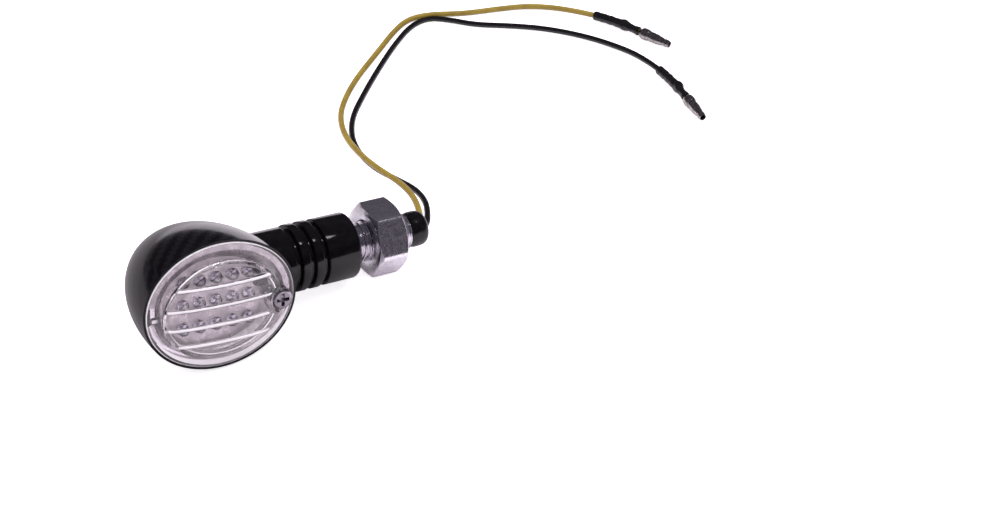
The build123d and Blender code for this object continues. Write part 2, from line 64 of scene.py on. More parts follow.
# ---- frames ------------------------------------------------------------------------------
@dataclass(frozen=True)
class Datum:
    """Right-handed axes inside the lamp, in which a piece is drawn in millimetres."""

    origin: Vector
    x_axis: Vector
    z_axis: Vector

    def matrix(self) -> Matrix:
        """Return the matrix from millimetres here to metres in the model's frame.

        Returns:
            The matrix.
        """
        y_axis = self.z_axis.cross(self.x_axis)
        turn = Matrix((self.x_axis, y_axis, self.z_axis)).transposed().to_4x4()
        return Matrix.Translation(self.origin) @ turn @ Matrix.Scale(MM, 4)

    def at(self, x: float, y: float, z: float) -> Vector:
        """Return the model's point at x, y, z millimetres here."""
        return self.matrix() @ Vector((x, y, z))

    def shifted(self, x: float, y: float, z: float, cant: float = 0.0) -> "Datum":
        """Return the same axes moved, and turned about Z.

        Args:
            x: Millimetres along X.
            y: Millimetres along Y.
            z: Millimetres along Z.
            cant: Degrees that X turns about Z.

        Returns:
            The new datum.
        """
        turned = Matrix.Rotation(math.radians(cant), 3, self.z_axis) @ self.x_axis
        return Datum(self.at(x, y, z), turned, self.z_axis)


def stem_datum(head_roll: float, mount_offset: float) -> Datum:
    """Find the stem's axes from the record's stud mount.

    Args:
        head_roll: Angle that the lens looks up.
        mount_offset: Millimetres from the shoulder to the mount's point.

    Returns:
        X along the stud from the middle of the shoulder, Y up the lamp, Z towards the lens.
    """
    mount = next(m for m in frame["record"]["mounts"] if m["name"] == "stud_thread")
    along = Vector(mount["axis"]).normalized()
    origin = Vector(mount["pos_m"]) - along * mount_offset * MM
    level = Vector((0, -math.cos(head_roll), 0))
    up = Vector((0, 0, 1)).cross(along).cross(along) * -1
    lens_way = (level + up.normalized() * math.sin(head_roll)).normalized()
    return Datum(origin, along, lens_way)


# How far the lens looks up, and where the neck meets the egg: the stem's section only marks that
# place, because the real one follows the egg.
HEAD_ROLL = math.radians(9.19)
NECK_END = -28.0
# The stem's axes, and the same ones moved to the middle of the housing's rim.
STEM = stem_datum(HEAD_ROLL, mount_offset=2.28)
RIM = STEM.shifted(-41.35, 0.0, 14.4, cant=-2.25)


# ---- meshes ------------------------------------------------------------------------------
def finish_mesh(name: str, bm: bmesh.types.BMesh, matrix: Matrix,
                sharp: float = 40.0) -> bpy.types.Object:
    """Turn a bmesh into an object whose place is in its mesh.

    Args:
        name: The piece's name.
        bm: The mesh, freed here.
        matrix: From its own axes to the model's frame.
        sharp: Angle in degrees past which an edge stays sharp.

    Returns:
        The linked object at the origin.
    """
    bm.transform(matrix)
    bmesh.ops.recalc_face_normals(bm, faces=bm.faces)
    for face in bm.faces:
        face.smooth = True
    for edge in bm.edges:
        edge.smooth = len(edge.link_faces) == 2 and edge.calc_face_angle(0) < math.radians(sharp)
    return link_mesh(name, bm)


def link_mesh(name: str, bm: bmesh.types.BMesh) -> bpy.types.Object:
    """Link a bmesh as an object at the origin, and free it.

    Args:
        name: The object's name.
        bm: The mesh, freed here.

    Returns:
        The linked object.
    """
    mesh = bpy.data.meshes.new(name)
    bm.to_mesh(mesh)
    bm.free()
    piece = bpy.data.objects.new(name, mesh)
    bpy.context.scene.collection.objects.link(piece)
    return piece


def rings(rows: Sequence[Sequence[Vector]], loop: bool) -> bmesh.types.BMesh:
    """Skin rings of equal count, and close the ends or join the last ring to the first.

    Args:
        rows: Rings of points, each closed on itself.
        loop: True where the last ring joins the first, False where flat ends close it.

    Returns:
        A closed mesh.
    """
    bm = bmesh.new()
    grid = [[bm.verts.new(point) for point in row] for row in rows]
    count = len(grid[0])
    pairs = list(zip(grid, grid[1:]))
    if loop:
        pairs.append((grid[-1], grid[0]))
    for low, high in pairs:
        for i in range(count):
            j = (i + 1) % count
            bm.faces.new((low[i], low[j], high[j], high[i]))
    if not loop:
        bm.faces.new(grid[0])
        bm.faces.new(grid[-1])
    return bm


def joined(parts: Sequence[bmesh.types.BMesh]) -> bmesh.types.BMesh:
    """Return one mesh that holds every part; the parts are freed.

    Args:
        parts: Closed meshes, freed here.

    Returns:
        The new mesh.
    """
    bm = bmesh.new()
    for part in parts:
        mesh = bpy.data.meshes.new("part")
        part.to_mesh(mesh)
        part.free()
        bm.from_mesh(mesh)
        bpy.data.meshes.remove(mesh)
    return bm


def around(x: float, radius: float, angle: float) -> Vector:
    """Return the point at a distance along X, a radius and an angle."""
    return Vector((x, radius * math.cos(angle), radius * math.sin(angle)))


def on_oval(half: Sequence[float], angle: float) -> Vector:
    """Return the flat point of an oval at an angle."""
    return Vector((half[0] * math.cos(angle), half[1] * math.sin(angle)))


def lathe(profile: Sequence[tuple[float, float]], steps: int,
          place: Optional[Callable[[float, float, float], Vector]] = None) -> bmesh.types.BMesh:
    """Revolve a closed profile round the X axis.

    Args:
        profile: Pairs of distance along X and radius, in order round the section.
        steps: Points in each ring.
        place: Gives the point for a distance, a radius and an angle where the ring isn't flat.

    Returns:
        A closed ring-shaped mesh.
    """
    where = place or around
    angles = [2 * math.pi * i / steps for i in range(steps)]
    return rings([[where(x, radius, a) for a in angles] for x, radius in profile], loop=True)


def frames_along(path: Sequence[Vector]) -> list[tuple[Vector, Vector, Vector]]:
    """Carry a pair of cross axes along a path without twist.

    Args:
        path: Points in order.

    Returns:
        Point, first cross axis and second cross axis at each point.
    """
    tangents = [(b - a).normalized() for a, b in zip([path[0], *path[:-1]], [*path[1:], path[-1]])]
    cross = tangents[0].orthogonal().normalized()
    found = []
    for point, tangent in zip(path, tangents):
        cross = (cross - tangent * cross.dot(tangent)).normalized()
        found.append((point, cross, tangent.cross(cross)))
    return found


def hose(path: Sequence[Vector], outer: Callable[[float, float], float], inner: float,
         sides: int) -> bmesh.types.BMesh:
    """Sweep a tube with a varying outside along a path.

    Args:
        path: Points of the middle line.
        outer: Gives the outside radius for a share of the length and an angle.
        inner: Bore radius.
        sides: Points in each ring.

    Returns:
        A closed tube.
    """
    angles = [2 * math.pi * i / sides for i in range(sides)]
    stations = frames_along(path)
    last = len(stations) - 1
    outside = [[p + (u * math.cos(a) + v * math.sin(a)) * outer(i / last, a) for a in angles]
               for i, (p, u, v) in enumerate(stations)]
    inside = [[p + (u * math.cos(a) + v * math.sin(a)) * inner for a in angles]
              for p, u, v in reversed(stations)]
    return rings(outside + inside, loop=True)


# ---- nodes -------------------------------------------------------------------------------
def linear(colour: str) -> tuple[float, float, float, float]:
    """Turn an sRGB hex colour into linear RGBA."""
    values = [int(colour[i:i + 2], 16) / 255 for i in (1, 3, 5)]
    return (*(v / 12.92 if v <= 0.04045 else ((v + 0.055) / 1.055) ** 2.4 for v in values), 1.0)


def add_node(tree: bpy.types.NodeTree, kind: str, settings: Optional[dict] = None,
             inputs: Optional[dict] = None) -> bpy.types.Node:
    """Add one node to a tree with its settings and links.

    Args:
        tree: Shader or geometry tree.
        kind: The node's type name.
        settings: Attributes by name.
        inputs: Values, or (node, output) pairs to link, by socket name or number.

    Returns:
        The node.
    """
    made = tree.nodes.new(kind)
    for name, value in (settings or {}).items():
        setattr(made, name, value)
    for key, value in (inputs or {}).items():
        socket = made.inputs[key]
        if isinstance(value, tuple) and value and isinstance(value[0], bpy.types.Node):
            tree.links.new(value[0].outputs[value[1]], socket)
        else:
            socket.default_value = value
    return made


def calc(tree: bpy.types.NodeTree, operation: str, first: object,
         second: object = 0.0) -> tuple[bpy.types.Node, int]:
    """Return the result of one sum on values or node outputs."""
    return add_node(tree, "ShaderNodeMath", {"operation": operation}, {0: first, 1: second}), 0


def soft_step(tree: bpy.types.NodeTree, value: tuple[bpy.types.Node, str],
              reach: tuple[float, float],
              result: tuple[float, float]) -> tuple[bpy.types.Node, str]:
    """Return a value that goes softly from result[0] to result[1] over reach.

    Args:
        tree: Shader or geometry tree.
        value: Node and output that give the value.
        reach: Where the slope begins and ends.
        result: What it gives before and after the slope.

    Returns:
        Node and output that give the result.
    """
    step = add_node(tree, "ShaderNodeMapRange", {"interpolation_type": "SMOOTHSTEP"}, {
        "Value": value, "From Min": reach[0], "From Max": reach[1], "To Min": result[0],
        "To Max": result[1]})
    return step, "Result"


class Pattern(Enum):
    """How a finish varies over its surface."""

    TWILL = "twill film"
    GRAIN = "moulded grain"
    PLATED = "plated metal"
    CLEAR = "clear moulding"
    BANDS = "colour bands"


@dataclass(frozen=True)
class Finish:
    """One real material and the way that its surface was made.

    Attributes:
        name: The material's plain name.
        colour: Main sRGB colour.
        second: Colour that the pattern brings in.
        pattern: How the surface varies.
        size: Size of the pattern's features in millimetres.
        roughness: Mean roughness.
        spread: How far the pattern moves the roughness.
        metallic: 1 for bare metal.
        ior: Index of refraction, left alone on metals.
        transmission: 1 for clear stock.
        bump: Height of the relief in millimetres.
    """

    name: str
    colour: str
    second: str
    pattern: Pattern
    size: float
    roughness: float
    spread: float = 0.05
    metallic: float = 0.0
    ior: float = 1.5
    transmission: float = 0.0
    bump: float = 0.0

    def material(self) -> bpy.types.Material:
        """Return the finish's material, made once.

        Returns:
            The material.
        """
        made = bpy.data.materials.get(self.name)
        if made:
            return made
        made = bpy.data.materials.new(self.name)
        made.use_nodes = True
        tree = made.node_tree
        tree.nodes.clear()
        shader = add_node(tree, "ShaderNodeBsdfPrincipled", inputs={
            "Base Color": linear(self.colour), "Metallic": self.metallic,
            "Roughness": self.roughness, "IOR": self.ior, "Transmission Weight": self.transmission})
        add_node(tree, "ShaderNodeOutputMaterial", inputs={"Surface": (shader, "BSDF")})
        place = add_node(tree, "ShaderNodeTexCoord")
        share = self.share(tree, place)
        self.vary(tree, shader, share)
        return made

    def share(self, tree: bpy.types.NodeTree, place: bpy.types.Node) -> tuple[bpy.types.Node, str]:
        """Build the pattern's 0 to 1 field.

        Args:
            tree: The material's tree.
            place: Its Texture Coordinate node.

        Returns:
            The node and output that give the field.
        """
        per_metre = 1.0 / (self.size * MM)
        if self.pattern is Pattern.TWILL:
            return twill(tree, place, self.size * MM)
        if self.pattern is Pattern.BANDS:
            wave = add_node(tree, "ShaderNodeTexWave", {"wave_profile": "SIN"}, {
                "Vector": (place, "Object"), "Scale": per_metre / (2 * math.pi)})
            return wave, "Fac"
        detail = 4.0 if self.pattern is Pattern.PLATED else 2.0
        noise = add_node(tree, "ShaderNodeTexNoise", inputs={
            "Vector": (place, "Object"), "Scale": per_metre, "Detail": detail, "Roughness": 0.6})
        return noise, "Fac"

    def vary(self, tree: bpy.types.NodeTree, shader: bpy.types.Node,
             share: tuple[bpy.types.Node, str]) -> None:
        """Let the pattern move the colour, the roughness and the relief.

        Args:
            tree: The material's tree.
            shader: Its Principled node.
            share: Where the pattern's field comes out.
        """
        if self.second != self.colour:
            ramp = add_node(tree, "ShaderNodeValToRGB", inputs={"Fac": share})
            ramp.color_ramp.elements[0].position = 0.35
            ramp.color_ramp.elements[0].color = linear(self.colour)
            ramp.color_ramp.elements[1].position = 0.7
            ramp.color_ramp.elements[1].color = linear(self.second)
            tree.links.new(ramp.outputs["Color"], shader.inputs["Base Color"])
        if self.spread:
            rough = add_node(tree, "ShaderNodeMapRange", inputs={
                "Value": share, "From Min": 0.3, "From Max": 0.7,
                "To Min": max(self.roughness - self.spread, 0.0),
                "To Max": self.roughness + self.spread})
            tree.links.new(rough.outputs["Result"], shader.inputs["Roughness"])
        if self.bump:
            relief = add_node(tree, "ShaderNodeBump", inputs={
                "Strength": 1.0, "Distance": self.bump * MM, "Height": share})
            tree.links.new(relief.outputs["Normal"], shader.inputs["Normal"])


def twill(tree: bpy.types.NodeTree, place: bpy.types.Node,
          tow: float) -> tuple[bpy.types.Node, str]:
    """Build a two-over, two-under weave on the two axes that lie most along the surface.

    Args:
        tree: The material's tree.
        place: Its Texture Coordinate node.
        tow: Width of one tow in metres.

    Returns:
        The node and output that are 1 on warp tows and 0 on weft tows.
    """
    to_rim = tuple(RIM.matrix().to_euler())
    turned, facing = (
        add_node(tree, "ShaderNodeVectorRotate", {"rotation_type": "EULER_XYZ", "invert": True}, {
            "Vector": (place, name), "Rotation": to_rim}) for name in ("Object", "Normal"))
    cells = add_node(tree, "ShaderNodeVectorMath", {"operation": "SCALE"}, {
        0: (turned, 0), "Scale": 1 / tow})
    whole = add_node(tree, "ShaderNodeVectorMath", {"operation": "FLOOR"}, {0: (cells, 0)})
    step = add_node(tree, "ShaderNodeSeparateXYZ", inputs={0: (whole, 0)})
    size = add_node(tree, "ShaderNodeVectorMath", {"operation": "ABSOLUTE"}, {0: (facing, 0)})
    side = add_node(tree, "ShaderNodeSeparateXYZ", inputs={0: (size, 0)})
    sums = []
    for first, second in (("X", "Z"), ("Y", "Z")):
        turn = calc(tree, "FLOORED_MODULO", calc(tree, "ADD", (step, first), (step, second)), 4.0)
        sums.append(calc(tree, "LESS_THAN", turn, 2.0))
    across = calc(tree, "GREATER_THAN", (side, "X"), (side, "Y"))
    chosen = add_node(tree, "ShaderNodeMix", inputs={"Factor": across, 2: sums[0], 3: sums[1]})
    return chosen, "Result"


# Film printed with a carbon-fibre weave under clear lacquer on moulded ABS: near black, wet gloss.
CARBON_FILM = Finish("carbon_film_lacquered_abs", "#050406", "#121015", Pattern.TWILL, 1.2, 0.13,
                     spread=0.02, ior=1.40)
# Injection-moulded clear polycarbonate: polished tool, slight flow waves.
POLYCARBONATE = Finish("polycarbonate_moulded", "#F9F6F9", "#F9F6F9", Pattern.CLEAR, 6.0, 0.02,
                       spread=0.0, ior=1.586, transmission=1.0)
# Two-part epoxy cast in a polished cup: pale and clear, so that the metal in it shows.
EPOXY = Finish("epoxy_cast", "#F2EFF6", "#F2EFF6", Pattern.CLEAR, 3.0, 0.03,
               spread=0.0, ior=1.33, transmission=1.0)
# Aluminium evaporated on moulded plastic: bright but hazy.
METALLISED = Finish("aluminium_vacuum_metallised", "#C4BFC1", "#A8A4A6", Pattern.PLATED, 2.5, 0.30,
                    spread=0.10, metallic=1.0)
# Natural rubber from a polished mould, wiped with silicone: deep black with sharp highlights.
RUBBER = Finish("rubber_moulded_polished", "#050406", "#0A090B", Pattern.GRAIN, 1.6, 0.10,
                spread=0.03, ior=1.42, bump=0.004)
# The plug's softer rubber, straight from the mould: black with a broad sheen.
SOFT_RUBBER = Finish("rubber_moulded_plug", "#050406", "#0A090B", Pattern.GRAIN, 1.0, 0.26,
                     spread=0.06, ior=1.42, bump=0.008)
# Zinc electroplate with clear passivation on turned steel: cool grey, faintly cloudy.
ZINC = Finish("steel_zinc_plated_turned", "#EFECF2", "#D9D6DF", Pattern.PLATED, 1.2, 0.25,
              spread=0.06, metallic=1.0, bump=0.0008)
# The same plating over a rolled thread, which burnishes it.
ZINC_THREAD = Finish("steel_zinc_plated_rolled_thread", "#E6E2E9", "#D2CED8", Pattern.PLATED,
                     1.2, 0.2, spread=0.05, metallic=1.0)
# Aluminium foil pressed on to the pan: the brightest thing in the lamp.
FOIL = Finish("aluminium_foil_pressed", "#FFFDFE", "#F4F0F3", Pattern.PLATED, 1.6, 0.34,
              spread=0.08, metallic=1.0)
# Matt black pad on the pan: a painted dark reflection, put where the pan would mirror the black
# stem.
DARK_REFLECTION_PAD = Finish("painted_reflection_pad_black", "#2A262C", "#1A171B", Pattern.GRAIN, 0.4, 0.9, ior=1.4, bump=0.03)
# Tin dipped on rolled brass strip: warm dull silver.
TINNED = Finish("brass_tin_plated_rolled", "#B8B5B4", "#77736F", Pattern.PLATED, 0.8, 0.3,
                spread=0.1, metallic=1.0, bump=0.006)
# Silver-plated steel strip, stamped: the glints inside each lamp.
LEAD_FRAME = Finish("steel_silver_plated_stamped", "#D9D6DC", "#BBB7BF", Pattern.PLATED, 0.6, 0.22,
                    spread=0.06, metallic=1.0)
# Solder, melted and set: bright, with small flow marks.
SOLDER = Finish("solder_flowed", "#BDBDC1", "#9A9A9F", Pattern.PLATED, 0.7, 0.3,
                spread=0.1, metallic=1.0, bump=0.01)
# Extruded PVC insulation: even colour, slight waxy sheen.
YELLOW_PVC = Finish("pvc_extruded_yellow", "#95802F", "#866E27", Pattern.GRAIN, 3.0, 0.32,
                    spread=0.06, ior=1.53, bump=0.004)
# The same insulation in black: a soft grey line along its top.
BLACK_PVC = Finish("pvc_extruded_black", "#0B0A0C", "#121114", Pattern.GRAIN, 3.0, 0.34,
                   spread=0.06, ior=1.53, bump=0.004)
# Shrunk sleeving: black, uneven and a little matt.
SLEEVING = Finish("pvc_sleeving_shrunk", "#0A090B", "#131215", Pattern.GRAIN, 1.0, 0.38,
                  spread=0.08, ior=1.53, bump=0.02)
# Silicone cord cut to the rim: milky grey, matt.
GASKET = Finish("silicone_cut_milky", "#8C868D", "#7B757D", Pattern.GRAIN, 0.5, 0.6,
                ior=1.41, bump=0.01)
# Nickel plate on a pressed screw: dull grey.
NICKEL = Finish("steel_nickel_plated_pressed", "#B9B4BB", "#99949C", Pattern.PLATED, 0.7, 0.26,
                spread=0.08, metallic=1.0, bump=0.004)
# The same polycarbonate frosted near white, which scatters the light: it paints the highlights that
# the clear lens shows on its rib crests, flange edge and back, hook and lower crescent.
FROSTED_HIGHLIGHT = Finish("polycarbonate_frosted_painted_highlight", "#FBF8FC", "#FBF8FC", Pattern.CLEAR, 6.0, 0.35,
                spread=0.0, ior=1.586, transmission=0.25)
# Glass-fibre board under white solder resist: off-white, faintly woven.
BOARD = Finish("fibreglass_white_resist", "#E4E3DF", "#D2D1CC", Pattern.GRAIN, 0.9, 0.5,
               ior=1.5, bump=0.01)
# Resistor body dipped in lacquer: tan with dark bands.
RESISTOR = Finish("resistor_lacquer_banded", "#B79A6A", "#5A3A22", Pattern.BANDS, 0.9, 0.4, ior=1.5)
# Diode body moulded in epoxy: near black, satin.
DIODE = Finish("diode_epoxy_moulded", "#101012", "#1A1A1D", Pattern.GRAIN, 0.6, 0.45, ior=1.53)


def dress(piece: bpy.types.Object, finish: Finish) -> None:
    """Give a piece one finish all over.

    Args:
        piece: An object with a mesh or a curve.
        finish: Its finish.
    """
    if len(piece.material_slots) == 0:
        piece.data.materials.append(finish.material())
    for slot in piece.material_slots:
        slot.material = finish.material()


# ---- solids and geometry trees -------------------------------------------------------------
def bake(piece: bpy.types.Object) -> None:
    """Turn a piece with modifiers into its plain evaluated mesh.

    Args:
        piece: The object, changed here.
    """
    graph = bpy.context.evaluated_depsgraph_get()
    made = bpy.data.meshes.new_from_object(piece.evaluated_get(graph))
    before = piece.data
    piece.modifiers.clear()
    piece.data = made
    bpy.data.meshes.remove(before)


def raw_object(name: str, bm: bmesh.types.BMesh) -> bpy.types.Object:
    """Link a bmesh in its own millimetre axes, for modifiers to work on."""
    bmesh.ops.recalc_face_normals(bm, faces=bm.faces)
    return link_mesh(name, bm)


def finish_object(piece: bpy.types.Object, matrix: Matrix, sharp: float = 40.0) -> bpy.types.Object:
    """Move a raw object's mesh into the model's frame and set its sharp edges.

    Args:
        piece: Object whose mesh is in its own axes, removed here.
        matrix: From those axes to the model's frame.
        sharp: Angle in degrees past which an edge stays sharp.

    Returns:
        The finished object under the same name.
    """
    bm = bmesh.new()
    bm.from_mesh(piece.data)
    name, mesh, materials = piece.name, piece.data, list(piece.data.materials)
    bpy.data.objects.remove(piece)
    bpy.data.meshes.remove(mesh)
    made = finish_mesh(name, bm, matrix, sharp)
    for material in materials:
        made.data.materials.append(material)
    return made


class Cut(Enum):
    """How one solid changes another."""

    ADD = "UNION"
    TAKE = "DIFFERENCE"


def combine(piece: bpy.types.Object, other: bpy.types.Object, cut: Cut) -> None:
    """Join one closed solid to another or cut it away.

    Args:
        piece: The solid that changes.
        other: The solid that is used up.
        cut: Whether it is added or taken away.
    """
    change = piece.modifiers.new("cut", "BOOLEAN")
    change.operation = cut.value
    change.solver = "EXACT"
    change.object = other
    bake(piece)
    mesh = other.data
    bpy.data.objects.remove(other)
    bpy.data.meshes.remove(mesh)


def run_tree(piece: bpy.types.Object, tree: bpy.types.NodeTree, sizes: dict[str, float]) -> None:
    """Run a geometry tree on a piece and keep the plain mesh.

    Args:
        piece: The object that the tree starts from.
        tree: The geometry tree.
        sizes: Values of its inputs by name.
    """
    change = piece.modifiers.new(tree.name, "NODES")
    change.node_group = tree
    for item in tree.interface.items_tree:
        if item.name in sizes:
            change[item.identifier] = sizes[item.name]
    bake(piece)


def new_tree(name: str, sizes: dict[str, type]) -> tuple[bpy.types.NodeTree, bpy.types.Node]:
    """Start a geometry tree with named inputs.

    Args:
        name: The tree's name.
        sizes: Each input's name and whether it is a float or an int.

    Returns:
        The tree and its input node.
    """
    tree = bpy.data.node_groups.new(name, "GeometryNodeTree")
    tree.interface.new_socket("Geometry", in_out="INPUT", socket_type="NodeSocketGeometry")
    for label, kind in sizes.items():
        socket = "NodeSocketInt" if kind is int else "NodeSocketFloat"
        tree.interface.new_socket(label, in_out="INPUT", socket_type=socket)
    tree.interface.new_socket("Geometry", in_out="OUTPUT", socket_type="NodeSocketGeometry")
    return tree, add_node(tree, "NodeGroupInput")


def end_tree(tree: bpy.types.NodeTree, result: tuple[bpy.types.Node, str],
             finish: Finish) -> None:
    """End a geometry tree in real faces with their finish.

    Args:
        tree: The geometry tree.
        result: Node and output that give the geometry.
        finish: Its finish.
    """
    real = add_node(tree, "GeometryNodeRealizeInstances", inputs={"Geometry": result})
    dressed = add_node(tree, "GeometryNodeSetMaterial", inputs={
        "Geometry": (real, "Geometry"), "Material": finish.material()})
    add_node(tree, "NodeGroupOutput", inputs={0: (dressed, "Geometry")})


def grid_tree(finish: Finish) -> bpy.types.NodeTree:
    """Build the tree that repeats a piece in columns and rows.

    Args:
        finish: Finish of the copies.

    Returns:
        The tree, with inputs Columns, Rows, Column Pitch and Row Pitch.
    """
    tree, given = new_tree(f"grid_of_{finish.name}", {
        "Columns": int, "Rows": int, "Column Pitch": float, "Row Pitch": float})
    spans = []
    for count, pitch in (("Columns", "Column Pitch"), ("Rows", "Row Pitch")):
        gaps = calc(tree, "SUBTRACT", (given, count), 1.0)
        spans.append(calc(tree, "MULTIPLY", gaps, (given, pitch)))
    places = add_node(tree, "GeometryNodeMeshGrid", inputs={
        "Size X": spans[0], "Size Y": spans[1],
        "Vertices X": (given, "Columns"), "Vertices Y": (given, "Rows")})
    copies = add_node(tree, "GeometryNodeInstanceOnPoints", inputs={
        "Points": (places, "Mesh"), "Instance": (given, "Geometry")})
    end_tree(tree, (copies, "Instances"), finish)
    return tree


def thread_tree(finish: Finish) -> bpy.types.NodeTree:
    """Build the tree that cuts a screw thread into the outside of a bar along X.

    Args:
        finish: Finish of the bar.

    Returns:
        The tree, with inputs Radius, Depth, Pitch, Length, Chamfer and Bore.
    """
    tree, given = new_tree(f"thread_of_{finish.name}", {
        "Radius": float, "Depth": float, "Pitch": float, "Length": float, "Chamfer": float,
        "Bore": float})

    spot = add_node(tree, "GeometryNodeInputPosition")
    axis = add_node(tree, "ShaderNodeSeparateXYZ", inputs={0: (spot, 0)})
    x, y, z = (axis, "X"), (axis, "Y"), (axis, "Z")
    squares = [calc(tree, "MULTIPLY", way, way) for way in (y, z)]
    radius = calc(tree, "SQRT", calc(tree, "ADD", *squares))
    turns = calc(tree, "DIVIDE", calc(tree, "ARCTAN2", z, y), 2 * math.pi)
    phase = calc(tree, "ADD", calc(tree, "DIVIDE", x, (given, "Pitch")), turns)
    wave = calc(tree, "MULTIPLY", calc(tree, "PINGPONG", phase, 0.5), 2.0)
    flank = add_node(tree, "ShaderNodeMapRange", inputs={
        "Value": wave, "From Min": 0.18, "From Max": 0.80})
    runout = add_node(tree, "ShaderNodeMapRange", inputs={
        "Value": x, "From Min": 0.1, "From Max": 1.4})
    share = calc(tree, "MULTIPLY", (flank, 0), (runout, 0))
    cut = calc(tree, "MULTIPLY", share, (given, "Depth"))
    wanted = calc(tree, "SUBTRACT", (given, "Radius"), cut)
    slope = calc(tree, "SUBTRACT", (given, "Length"), (given, "Chamfer"))
    end_cut = calc(tree, "MAXIMUM", calc(tree, "SUBTRACT", x, slope), 0.0)
    wanted = calc(tree, "MINIMUM", wanted, calc(tree, "SUBTRACT", (given, "Radius"), end_cut))
    scale = calc(tree, "DIVIDE", wanted, radius)
    moved = add_node(tree, "ShaderNodeCombineXYZ", inputs={
        "X": x, "Y": calc(tree, "MULTIPLY", y, scale), "Z": calc(tree, "MULTIPLY", z, scale)})
    outside = calc(tree, "GREATER_THAN", radius, calc(tree, "ADD", (given, "Bore"), 0.6))
    chosen = calc(tree, "MULTIPLY", outside, calc(tree, "GREATER_THAN", x, 0.05))
    shaped = add_node(tree, "GeometryNodeSetPosition", inputs={
        "Geometry": (given, "Geometry"), "Selection": chosen, "Position": (moved, 0)})
    end_tree(tree, (shaped, "Geometry"), finish)
    return tree


# ---- cords -------------------------------------------------------------------------------
class Polarity(Enum):
    """The lamp's two wires."""

    LIVE = "yellow"
    EARTH = "black"


# Points of each wire's run over the table in metres, the same as in the CAD source.
ROUTES = {
    Polarity.LIVE: [
        (.0436, .0084, .0080), (.0449, .0146, .0075), (.0451, .0220, .0066), (.0440, .0306, .0055),
        (.0439, .0405, .0042), (.0451, .0513, .0030), (.0489, .0618, .0020), (.0553, .0706, .0012),
        (.0634, .0786, .0008), (.0742, .0869, .0008), (.0843, .0949, .0008), (.0908, .0982, .0008),
        (.0973, .0972, .0008), (.1061, .0924, .0008), (.1162, .0895, .0008), (.1247, .0862, .0009),
        (.1323, .0790, .0013), (.1406, .0662, .0018), (.1438, .0567, .0017),
    ],
    Polarity.EARTH: [
        (.0454, .0063, .0068), (.0472, .0112, .0065), (.0479, .0174, .0056), (.0469, .0248, .0043),
        (.0451, .0330, .0032), (.0452, .0424, .0020), (.0474, .0519, .0011), (.0522, .0610, .0008),
        (.0603, .0695, .0008), (.0696, .0784, .0008), (.0804, .0880, .0008), (.0893, .0945, .0008),
        (.0957, .0957, .0008), (.1004, .0919, .0008), (.1058, .0854, .0008), (.1139, .0800, .0008),
        (.1219, .0735, .0008), (.1287, .0653, .0008), (.1336, .0567, .0009), (.1371, .0460, .0014),
        (.1376, .0314, .0018), (.1360, .0217, .0017),
    ],
}


# Distance past the wire's end and radius, along a rolled bullet terminal: crimped neck, flared
# bell, waist, barrel, locking groove, tip.
BULLET_PROFILE = (
    (-0.9, 0.62), (0.4, 0.66), (0.7, 0.95), (1.0, 1.5), (1.6, 1.68), (2.6, 1.68), (3.3, 1.58),
    (3.7, 1.36), (4.3, 1.46), (6.2, 1.42), (8.0, 1.2), (8.9, 1.0), (9.2, 1.12), (9.7, 1.12),
    (10.5, 1.0))
# The same for its inside, from the bell back to the crimp on the wire.
BULLET_INSIDE = ((3.2, 1.08), (1.8, 1.1), (1.3, 0.45), (-0.9, 0.45))


